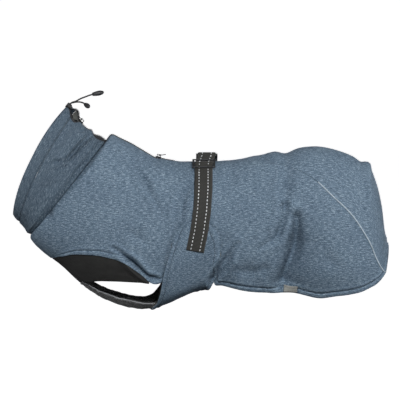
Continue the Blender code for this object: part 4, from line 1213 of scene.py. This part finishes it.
def spaced(points, out, pitch, margin=0.0):
    """Places along a line a pitch apart, with the line's direction and the direction out there."""
    reached = run_length(points)
    count = max(1, int((reached[-1] - 2 * margin) / pitch))
    at = margin + (np.arange(count) + 0.5) * (reached[-1] - 2 * margin) / count
    ahead = read_line(points, reached, at + 0.6) - read_line(points, reached, at - 0.6)
    return read_line(points, reached, at), unit(ahead), unit(read_line(out, reached, at))


STITCH_PITCH = 2.8
STITCH_SIZE = (2.7, 1.05, 0.5)


def stitch_row(name, points, out, look, sink=0.05, pitch=STITCH_PITCH, size=STITCH_SIZE):
    places, along, outwards = spaced(points, out, pitch)
    return scatter(name, BEAD, places - sink * outwards, along, outwards, size, look)


def round_cord(name, points, diameter, look):
    """A round cord through points in millimetres, as one smooth open curve."""
    data = bpy.data.curves.new(name, "CURVE")
    data.dimensions = "3D"
    data.bevel_depth = diameter / 2 * MM
    data.bevel_resolution = 4
    data.use_fill_caps = True
    line = data.splines.new("POLY")
    line.points.add(len(points) - 1)
    for point, place in zip(line.points, points):
        point.co = (*(float(value) * MM for value in place), 1)
    data.materials.append(look)
    thing = bpy.data.objects.new(name, data)
    bpy.context.scene.collection.objects.link(thing)
    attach(thing, "coat")
    return thing


# ---- The drawstring -------------------------------------------------------------------------------

LOCK_PLACE = (-183.5, 0.0, 78.5)
LOCK_AXIS = (0.77, 0.0, -0.64)
# The two free ends of the drawstring, from inside the cord lock to inside their caps.
UPPER_ROUTE = [
    (-181.9, 1.5, 80.4),
    (-180.2, 1.6, 82.4),
    (-176.8, 1.0, 84.0),
    (-173.0, 0.2, 85.2),
    (-167.0, -0.5, 88.6),
    (-159.4, -0.6, 91.6),
    (-152.0, 0.0, 94.2),
    (-145.8, 0.8, 95.5),
]
LOWER_ROUTE = [
    (-181.9, -1.5, 80.4),
    (-180.2, -1.6, 82.4),
    (-176.5, -2.6, 83.6),
    (-172.0, -4.8, 84.4),
    (-167.0, -7.8, 84.6),
    (-162.6, -11.4, 83.6),
    (-159.8, -15.2, 82.0),
    (-158.2, -19.0, 81.3),
]
CAP_PROFILE = [
    (1.45, 5.2),
    (1.45, 0.3),
    (1.7, 0.0),
    (2.15, 0.1),
    (2.4, 0.6),
    (2.3, 1.1),
    (2.55, 1.5),
    (2.9, 3.0),
    (3.25, 5.5),
    (3.5, 8.0),
    (3.5, 10.2),
    (3.2, 12.5),
    (2.6, 14.4),
    (1.9, 15.6),
    (1.0, 16.5),
    (0.0, 16.8),
]
LOCK_PROFILE = [
    (0.0, -3.4),
    (2.9, -3.4),
    (3.4, -3.3),
    (3.9, -2.9),
    (4.1, -2.4),
    (4.1, -1.1),
    (3.85, -0.8),
    (3.85, 1.1),
    (4.1, 1.4),
    (4.1, 2.8),
    (3.95, 3.3),
    (3.6, 3.5),
    (3.1, 3.5),
    (3.0, 3.3),
    (3.0, -1.9),
    (0.0, -1.9),
]


def towards(direction, place):
    """A frame at a place in millimetres whose Z runs along the direction."""
    z = unit(np.array(direction, float))
    x = unit(np.cross([0, 1, 0], z))
    y = np.cross(z, x)
    axes = Matrix([list(row) for row in np.array([x, y, z]).T]).to_4x4()
    return Matrix.Translation([float(value) * MM for value in place]) @ axes


def turned(name, profile, sides, place, look):
    """A turned body about Z. profile lists (radius, height); a radius of 0 closes it on the axis."""
    points, faces, rings = [], [], []
    for radius, height in profile:
        count = 1 if radius == 0 else sides
        rings.append((len(points), count))
        for step in range(count):
            turn = 2 * pi * step / sides
            points.append((radius * cos(turn) * MM, radius * sin(turn) * MM, height * MM))
    for (low, low_count), (high, high_count) in zip(rings, rings[1:]):
        for step in range(sides):
            after = (step + 1) % sides
            corners = [low + step % low_count, low + after % low_count]
            corners += [high + after % high_count, high + step % high_count]
            faces.append(list(dict.fromkeys(corners)))
    if profile[0][0] > 0:
        faces.append([rings[0][0] + step for step in range(sides)][::-1])
    mesh = bpy.data.meshes.new(name)
    mesh.from_pydata(points, [], faces)
    mesh.transform(place)
    work = bmesh.new()
    work.from_mesh(mesh)
    bmesh.ops.recalc_face_normals(work, faces=work.faces)
    work.to_mesh(mesh)
    work.free()
    mesh.shade_smooth()
    mesh.set_sharp_from_angle(angle=radians(50))
    return new_object(name, mesh, [look])


def drawstring(name, route, cord_node, cap_node, cord_look, cap_look):
    """A free end of the drawstring, from the cord lock's hole, with the moulded cap on it."""
    points = smooth(route, np.linspace(0.25, len(route) - 1, 34))
    cord = round_cord("cord_" + name, points, CORD_DIAMETER, cord_look)
    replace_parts(cord, cord_node)
    ahead = unit(points[-1] - points[-3])
    place = towards(ahead, points[-1] - 4.7 * ahead)
    cap = turned("cap_" + name, CAP_PROFILE, 28, place, cap_look)
    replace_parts(cap, cap_node)


# ---- The straps -----------------------------------------------------------------------------------

STRAP_ON_SIDE = 3.0
STRAP_ON_BAND = 4.3
MM_PER_RADIAN = 73.6  # round the body at the strap slider
OverGlide = namedtuple("OverGlide", "along lift")
OVER_GLIDE = [
    OverGlide(-11.5, 3.0),
    OverGlide(-8.6, 3.0),
    OverGlide(-5.0, 4.7),
    OverGlide(-2.1, 6.9),
    OverGlide(2.1, 6.9),
    OverGlide(5.0, 4.7),
    OverGlide(8.6, 3.0),
    OverGlide(11.5, 3.0),
]
GLIDE_TURN = radians(18.5)
BUCKLE_TURN = radians(15)
BUCKLE_BAR = 23.0  # from the buckle's middle to each webbing bar
BUCKLE_BAR_HEIGHT = 5.0
BUCKLE_BAR_HALF = 1.5
RIBBON_COLUMNS = 15
STRAP_END = 0.65  # the fraction of the way down where it is sewn on the band
FRACTION_SCALE = np.linspace(0, 0.98, 60)
TURN_SCALE = angle(BODY, np.full(60, 12.2), FRACTION_SCALE)


def strap_x(fraction):
    return read_table(STRAP, "at", "x", fraction)


def station_at_x(x, turn, side):
    """The station whose skin lies at x, for an angle round the section."""
    low = np.full(np.shape(x), 8.0)
    high = np.full(np.shape(x), 18.0)
    for _ in range(30):
        middle = (low + high) / 2
        ahead = plain_skin(BODY, middle, turn, side)[..., 0] < x
        low = np.where(ahead, middle, low)
        high = np.where(ahead, high, middle)
    return (low + high) / 2


def frame_on(station, turn, side):
    """A frame on the plain skin of the body: X towards the tail, Z out of the coat."""
    place = plain_skin(BODY, np.float64(station), np.float64(turn), side)
    out = normals(BODY, np.float64(station), np.float64(turn), side)
    step = 0.2
    ahead = plain_skin(BODY, station + step, turn, side) - plain_skin(BODY, station - step, turn, side)
    ahead = unit(ahead - (ahead @ out) * out)
    across = np.cross(out, ahead)
    axes = Matrix([list(row) for row in np.array([ahead, across, out]).T]).to_4x4()
    return Matrix.Translation([float(value) * MM for value in place]) @ axes


def buckle_frame():
    return frame_on(station_at_x(strap_x(0.0), BUCKLE_TURN, RIGHT), BUCKLE_TURN, RIGHT)


def on_flank(turns, lifts, side, width, relief_from):
    """Points across a strap that runs round the body, and the directions out of the cloth there."""
    turns = np.asarray(turns, float)
    x = strap_x(np.interp(turns, TURN_SCALE, FRACTION_SCALE))
    station = station_at_x(x, turns, side)
    centre = plain_skin(BODY, station, turns, side)
    out = normals(BODY, station, turns, side)
    # The strap keeps to the hardware's height near the ridge, and further down to the cloth's.
    height = relief(BODY, centre, station, turns, side) * np.clip((turns - relief_from) / 0.25, 0, 1)
    centre = centre + (height + lifts)[:, None] * out
    down = unit(np.gradient(centre, axis=0))
    square = unit(np.cross(out, down))
    square = square * np.sign(square[:, :1])
    # Through the hardware the strap runs square to the coat, and lower down to its own line.
    share = np.clip((turns - radians(34)) / 0.45, 0, 1)[:, None]
    across = unit(np.array([1.0, 0, 0]) * (1 - share) + square * share)
    offsets = width * np.linspace(-0.5, 0.5, RIBBON_COLUMNS)
    points = centre[:, None, :] + offsets[None, :, None] * across[:, None, :]
    return points, np.repeat(out[:, None, :], RIBBON_COLUMNS, axis=1)


def bar_wrap(side):
    """The webbing's middle line over a buckle bar, from the slot over the top and down outside."""
    placed = np.array(buckle_frame())
    outward = placed[:3, 1] * side
    bar = placed[:3, 3] / MM + outward * BUCKLE_BAR + placed[:3, 2] * BUCKLE_BAR_HEIGHT
    reach = BUCKLE_BAR_HALF + 1.1 + WEBBING_THICKNESS / 2
    turns = np.radians(np.linspace(188, -15, 19))
    away = np.cos(turns)[:, None] * outward + np.sin(turns)[:, None] * placed[:3, 2]
    line = bar + reach * away
    share = np.linspace(-0.5, 0.5, RIBBON_COLUMNS)
    middle = np.repeat(line[:, None, :], RIBBON_COLUMNS, axis=1)
    middle[..., 0] = strap_x(0.0) + WEBBING_WIDTH * share[None, :]
    return middle, np.repeat(away[:, None, :], RIBBON_COLUMNS, axis=1)


def even_rows(middle, out, step=0.9):
    """The same strap with its rows spread evenly and its kinks eased, and the run along it."""
    centre = middle[:, RIBBON_COLUMNS // 2]
    reached = run_length(centre)
    at = np.linspace(0, reached[-1], int(reached[-1] / step) + 1)

    def spread(values):
        flat = values.reshape(len(values), -1)
        even = read_line(flat, reached, at)
        for _ in range(4):
            even[1:-1] = 0.25 * even[:-2] + 0.5 * even[1:-1] + 0.25 * even[2:]
        return even.reshape(len(at), *values.shape[1:])

    return spread(middle), unit(spread(out)), at


def strap_path(side):
    """The rows of a strap from a buckle bar down to its sewn end on the band."""
    end = np.interp(STRAP_END, FRACTION_SCALE, TURN_SCALE)
    if side == LEFT:
        glide = [GLIDE_TURN + row.along / MM_PER_RADIAN for row in OVER_GLIDE]
        lifts = [row.lift for row in OVER_GLIDE]
    else:
        glide, lifts = [radians(44)], [STRAP_ON_SIDE]
    steps = [np.interp(fraction, FRACTION_SCALE, TURN_SCALE) for fraction in (0.30, 0.37)]
    turns = np.linspace(glide[0], end, 150)
    lift = np.interp(turns, glide + steps, lifts + [STRAP_ON_SIDE, STRAP_ON_BAND])
    flank, flank_out = on_flank(turns, lift, side, WEBBING_WIDTH, radians(34))
    wrap, wrap_out = bar_wrap(side)
    return even_rows(np.concatenate([wrap, flank]), np.concatenate([wrap_out, flank_out]))


def ribbon(name, node, middle, out, run, width, thickness, look):
    across = np.linspace(-0.5, 0.5, middle.shape[1]) * width
    edge = np.minimum((width / 2 - np.abs(across))[None, :], np.minimum(run, run[-1] - run)[:, None])
    half = thickness / 2
    height = half - rounding(edge, half)
    place = np.stack(np.broadcast_arrays(run[:, None], across[None, :]), -1)
    outer, under = lay(middle, out, height), lay(middle, out, -height)
    cloth_piece(name, node, outer, under, place, [look])


DASH_PITCH = 5.0
DASH_MARGIN = 0.6  # left free at the strap's ends
DASH_SIZE = (2.7, 1.15, 0.28)


def dashes(name, middle, out, look):
    """Two rows of reflective dashes woven into a strap, a quarter in from each edge."""
    columns = middle.shape[1]
    rows = []
    for share in (0.25, 0.75):
        at = share * (columns - 1)
        low = int(at)
        part = at - low
        line = middle[:, low] * (1 - part) + middle[:, low + 1] * part
        line_out = out[:, low] * (1 - part) + out[:, low + 1] * part
        rows.append(spaced(line, line_out, DASH_PITCH, DASH_MARGIN))
    places, along, outwards = (np.concatenate(parts) for parts in zip(*rows))
    places = places + (WEBBING_THICKNESS / 2) * outwards
    return scatter(name, PAD, places, along, outwards, DASH_SIZE, look)


# ---- The zip --------------------------------------------------------------------------------------

TAPE_SINK = 0.4
TAPE_THICKNESS = 1.2
TAPE_INNER_EDGE = 0.4  # from the middle to each tape's edge where the zip is shut
TOOTH_PITCH = 1.7
TOOTH_SIZE = (0.85, 2.3, 0.62)
FRONT_SLIDER = 2.15  # station on the collar
REAR_SLIDER = 7.45  # station on the body
LOCK_CLEARANCE = 2.2


def zip_rows(side, inwards):
    """Points along the zip at distances in from the cloth's edges, and the directions out of it."""
    points, out, at = [], [], []
    for table, start, end in ((COLLAR, 0.06, 6.95), (BODY, 0.12, ZIP_END - 0.14)):
        stations = np.linspace(start, end, 110)
        if table is COLLAR:
            reach = collar_opening(stations, side)
            shut = stations > FRONT_SLIDER
        else:
            reach = np.full(len(stations), ZIP_HALF_WIDTH)
            shut = stations < REAR_SLIDER
        distances = reach[None, :] - np.asarray(inwards, float)[:, None]
        station = np.broadcast_to(stations, distances.shape)
        turn = angle_of_width(table, station, distances)
        arch = 2.6 * bump_between(station, 4.0, 7.4) if table is COLLAR else np.zeros(station.shape)
        arch = arch * np.clip(np.asarray(inwards, float)[:, None] / 2.5, 0, 1)
        rows, rows_out = both_sides(table, station, side * turn, arch)
        points.append(rows)
        out.append(rows_out)
        at.append(np.stack([stations + (0 if table is COLLAR else 100), shut], 1))
    return np.concatenate(points, 1), np.concatenate(out, 1), np.concatenate(at)


def zip_tape(side, name, node, look):
    inner = ZIP_HALF_WIDTH - TAPE_INNER_EDGE
    points, out, _ = zip_rows(side, np.linspace(SEAM_GAP, inner, 7))
    reached, run = arc_down(points), run_along(points)
    edge = np.minimum(reached, reached[-1] - reached)
    sunk = rounding(edge, 0.4)
    outer = lay(points, out, -TAPE_SINK - sunk)
    under = lay(points, out, sunk - TAPE_SINK - TAPE_THICKNESS)
    cloth_piece(name, node, outer, under, np.stack([run, reached], -1), [look])


def zip_teeth(side, name, look):
    """One row of teeth, closed on its fellow between the sliders and parted beyond them."""
    points, out, at = zip_rows(side, [ZIP_HALF_WIDTH - TAPE_INNER_EDGE + 0.05])
    points, out = points[0], out[0]
    reached = run_length(points)
    phase = 0.25 if side == LEFT else 0.75
    where = (np.arange(int(reached[-1] / TOOTH_PITCH)) + phase) * TOOTH_PITCH
    station = np.interp(where, reached, at[:, 0])
    near_slider = (np.abs(station - FRONT_SLIDER) < 0.32) | (np.abs(station - 100 - REAR_SLIDER) < 0.42)
    where = where[~near_slider]
    outwards = unit(read_line(out, reached, where))
    along = unit(read_line(points, reached, where + 0.5) - read_line(points, reached, where - 0.5))
    places = read_line(points, reached, where) + 0.12 * outwards
    # The cord lock's button slides in the room between the first teeth.
    low, high = (np.array(corner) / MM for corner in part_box("cord_lock_button"))
    clear = np.any((places < low - LOCK_CLEARANCE) | (places > high + LOCK_CLEARANCE), axis=1)
    return scatter(name, PAD, places[clear], along[clear], outwards[clear], TOOTH_SIZE, look)


# ---- Piping, binding and label ---------------------------------------------------------------------


def piping(side, name, node, look):
    stations = np.linspace(20.05, 27.8, 150)
    points, _ = lift_skin(BODY, stations, seam_angle(stations), side, 0.55)
    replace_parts(round_cord(name, points, PIPING_DIAMETER, look), node)


def label(looks, thread):
    """A blank woven tab at the left hem, sewn along its top."""
    stations = np.linspace(17.75, 18.62, 16)
    fraction = np.linspace(0.779, 0.812, 10)[:, None]
    station = np.broadcast_to(stations, (10, 16))
    turn = angle(BODY, station, fraction)
    points, out = lift_skin(BODY, station, turn, LEFT, LAP_GAP + 1.0)
    reached, run = arc_down(points), run_along(points)
    edge = np.minimum(np.minimum(reached, reached[-1] - reached), np.minimum(run, run[:, -1:] - run))
    sunk = rounding(edge, 0.5)
    curl = 0.5 * (reached / reached[-1]) ** 2
    outer = lay(points, out, curl - sunk)
    under = lay(points, out, curl - 1.0 + sunk)
    cloth_piece("woven_label", "label_tab", outer, under, np.stack([run, reached], -1), looks)
    line, line_out = outer[2, 1:-1], out[2, 1:-1]
    stitch_row("label_stitches", line, line_out, thread, 0.0, 1.7, (1.3, 0.4, 0.35))


# The cut of what shows of each cloth piece, in metres and square metres.
Sheet = namedtuple("Sheet", "piece width length area held rests_on extras")


def repaint(node, look):
    """Gives a CAD solid a better material."""
    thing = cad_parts[node]
    for slot in thing.material_slots:
        slot.material = look


# ---- Stage -------------------------------------------------------------------------------------


def stage():
    """A plain pale floor that runs up all round the coat."""
    floor_z, radius, bend, height = -0.62, 9.0, 2.5, 5.0  # metres
    sides, bend_steps = 72, 8
    profile = [(0.4, floor_z), (2.0, floor_z), (radius - bend, floor_z)]
    for step in range(1, bend_steps + 1):
        turn = step / bend_steps * pi / 2
        profile.append((radius - bend + bend * sin(turn), floor_z + bend * (1 - cos(turn))))
    profile.append((radius, floor_z + height))
    points = [(0, 0, floor_z)]
    for reach, z in profile:
        for step in range(sides):
            turn = 2 * pi * step / sides
            points.append((reach * cos(turn), reach * sin(turn), z))
    faces = [(0, 1 + step, 1 + (step + 1) % sides) for step in range(sides)]
    for ring in range(len(profile) - 1):
        low, high = 1 + ring * sides, 1 + (ring + 1) * sides
        for step in range(sides):
            after = (step + 1) % sides
            faces.append((low + step, high + step, high + after, low + after))
    mesh = bpy.data.meshes.new("floor")
    mesh.from_pydata(points, [], faces)
    mesh.shade_smooth()
    look = bpy.data.materials.new("pale floor")
    look.use_nodes = True
    shader = look.node_tree.nodes["Principled BSDF"]
    shader.inputs["Base Color"].default_value = (0.93, 0.93, 0.93, 1)
    shader.inputs["Roughness"].default_value = 0.9
    shader.inputs["Emission Color"].default_value = (1, 1, 1, 1)
    shader.inputs["Emission Strength"].default_value = 0.85
    mesh.materials.append(look)
    floor = bpy.data.objects.new("floor", mesh)
    bpy.context.scene.collection.objects.link(floor)
    floor.visible_diffuse = False
    floor.visible_glossy = False
    floor.visible_shadow = False


def sky():
    """Light from all round, stronger from above."""
    world = bpy.data.worlds.new("studio")
    bpy.context.scene.world = world
    world.use_nodes = True
    tree = world.node_tree
    source = tree.nodes.new("ShaderNodeTexCoord")
    split = tree.nodes.new("ShaderNodeSeparateXYZ")
    ramp = tree.nodes.new("ShaderNodeValToRGB")
    half_up = tree.nodes.new("ShaderNodeMath")
    half_up.operation = "MULTIPLY_ADD"
    half_up.inputs[1].default_value = 0.5
    half_up.inputs[2].default_value = 0.5
    tree.links.new(source.outputs["Generated"], split.inputs[0])
    tree.links.new(split.outputs["Z"], half_up.inputs[0])
    tree.links.new(half_up.outputs[0], ramp.inputs["Fac"])
    ramp.color_ramp.elements[0].position = 0.15
    ramp.color_ramp.elements[0].color = (0.16, 0.17, 0.18, 1)
    ramp.color_ramp.elements[1].position = 0.75
    ramp.color_ramp.elements[1].color = (0.52, 0.53, 0.55, 1)
    background = tree.nodes["Background"]
    tree.links.new(ramp.outputs["Color"], background.inputs["Color"])
    background.inputs["Strength"].default_value = 0.28


def area_light(name, place, size, power):
    """A soft light that looks at the coat's middle."""
    data = bpy.data.lights.new(name, "AREA")
    data.size = size
    data.energy = power
    thing = bpy.data.objects.new(name, data)
    bpy.context.scene.collection.objects.link(thing)
    thing.location = place
    thing.visible_camera = False
    thing.rotation_euler = (Vector((0, 0, -0.08)) - Vector(place)).to_track_quat("-Z", "Y").to_euler()


def lights():
    sky()
    area_light("key", (0.35, -2.35, 1.12), size=0.9, power=57)
    area_light("fill_rear", (2.4, -0.6, 0.35), size=1.2, power=20)
    area_light("fill_neck", (-2.4, -0.5, -0.05), size=0.9, power=14)
    area_light("back", (0.4, 2.5, -0.05), size=1.4, power=40)
    bpy.context.scene.view_settings.view_transform = "Standard"


def main():
    make_camera()
    cord_look = woven_look("black cord", (0.020, 0.020, 0.021), (0.060, 0.060, 0.062), 0.0011)
    plastic = plain_look("black plastic", (0.022, 0.023, 0.025), 0.52)
    drawstring("upper", UPPER_ROUTE, "drawstring_upper", "cord_cap_upper", cord_look, plastic)
    drawstring("lower", LOWER_ROUTE, "drawstring_lower", "cord_cap_lower", cord_look, plastic)
    lock = turned("cord_lock_shell", LOCK_PROFILE, 36, towards(LOCK_AXIS, LOCK_PLACE), plastic)
    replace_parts(lock, "cord_lock")
    softshell = softshell_look("heathered softshell", 1.0)
    # The collar and its casing take the same softshell darkened to a tone of 0.66, which is painted shade.
    collar_painted_shade_cloth = softshell_look("heathered softshell with painted shade", 0.66)
    lining = lining_look()
    stretch = stretch_look()
    fleece = strip_look()
    tape = woven_look("zip tape", (0.012, 0.013, 0.016), (0.045, 0.048, 0.055), 0.0010)
    web = woven_look("black webbing", (0.016, 0.016, 0.014), (0.058, 0.057, 0.050), 0.0018)
    enamel = plain_look("black enamel", (0.012, 0.012, 0.014), 0.36, 0.00002, 1500)
    teeth = plain_look("zip teeth", (0.009, 0.010, 0.012), 0.5, 0.00002, 1500)
    silver = plain_look("reflective yarn", (0.62, 0.64, 0.66), 0.45, 0.00008, 2600)
    bright = plain_look("reflective piping", (0.40, 0.47, 0.53), 0.42, 0.00006, 2400)
    thread = plain_look("navy thread", (0.016, 0.026, 0.040), 0.7, 0.00008, 3000)
    dark_thread = plain_look("black thread", (0.018, 0.018, 0.019), 0.7, 0.00008, 3000)
    label_look = woven_look("label cloth", (0.270, 0.275, 0.255), (0.420, 0.430, 0.410), 0.0009)
    binding = plain_look("grey binding", (0.340, 0.355, 0.370), 0.85, 0.0002, 1400)

    for side, word in SIDES:
        hem, hem_out = side_panel(side, "softshell_side_" + word, "side_" + word, [softshell, lining])
        stitch_row("hem_stitches_" + word, hem, hem_out, thread)
    rump_hem, rump_out = rump_panel([softshell, lining])
    stitch_row("hem_stitches_rump", rump_hem, rump_out, thread)
    collar_piece("softshell_collar", "collar", 1.0, 6.985, 0.0, WALL, [collar_painted_shade_cloth, lining])
    casing_skin, casing_out, casing_at = collar_piece(
        "softshell_collar_casing", "collar_casing", 0.0, CASING_END, 0.2, 3.0, [collar_painted_shade_cloth, collar_painted_shade_cloth]
    )
    row = np.argmin(np.abs(casing_at - CASING_STITCH))
    stitch_row("casing_stitches", casing_skin[:, row], casing_out[:, row], thread)
    chest_panel([stretch, lining])
    strip_skin = chest_strip([fleece, fleece])
    for row, name in ((1, "strip_binding_left"), (-2, "strip_binding_right")):
        round_cord(name, strip_skin[row, 1:-1], BINDING_DIAMETER, binding)
    belly_skin, belly_out, belly_run = belly_band([softshell, lining])
    band_stitches(belly_skin, belly_out, belly_run, thread)
    for side, word in SIDES:
        zip_tape(side, "woven_zip_tape_" + word, "zip_tape_" + word, tape)
        zip_teeth(side, "zip_teeth_" + word, teeth)
        middle, out, run = strap_path(side)
        ribbon("strap_" + word, "webbing_" + word, middle, out, run, WEBBING_WIDTH, WEBBING_THICKNESS, web)
        dashes("strap_dashes_" + word, middle, out, silver)
        piping(side, "seam_piping_" + word, "piping_" + word, bright)
    down = np.linspace(0.004, 0.375, 90)
    turns = np.interp(down, FRACTION_SCALE, TURN_SCALE)
    middle, out = on_flank(turns, np.full(len(turns), 1.35), LEFT, WEBBING_WIDTH - 1, 0.0)
    middle[..., 0] -= np.linspace(0, 2.0, len(turns))[:, None]
    middle, out, run = even_rows(middle, out)
    ribbon("strap_return", "webbing_return", middle, out, run, WEBBING_WIDTH - 1, 1.0, web)
    label([label_look], dark_thread)
    for node in ("strap_slider", "buckle_socket", "buckle_plug", "cord_lock_button"):
        repaint(node, plastic)
    for node in ("zip_slider_front", "zip_slider_rear", "zip_pull_front", "zip_pull_rear"):
        repaint(node, enamel)
    stage()
    lights()


main()
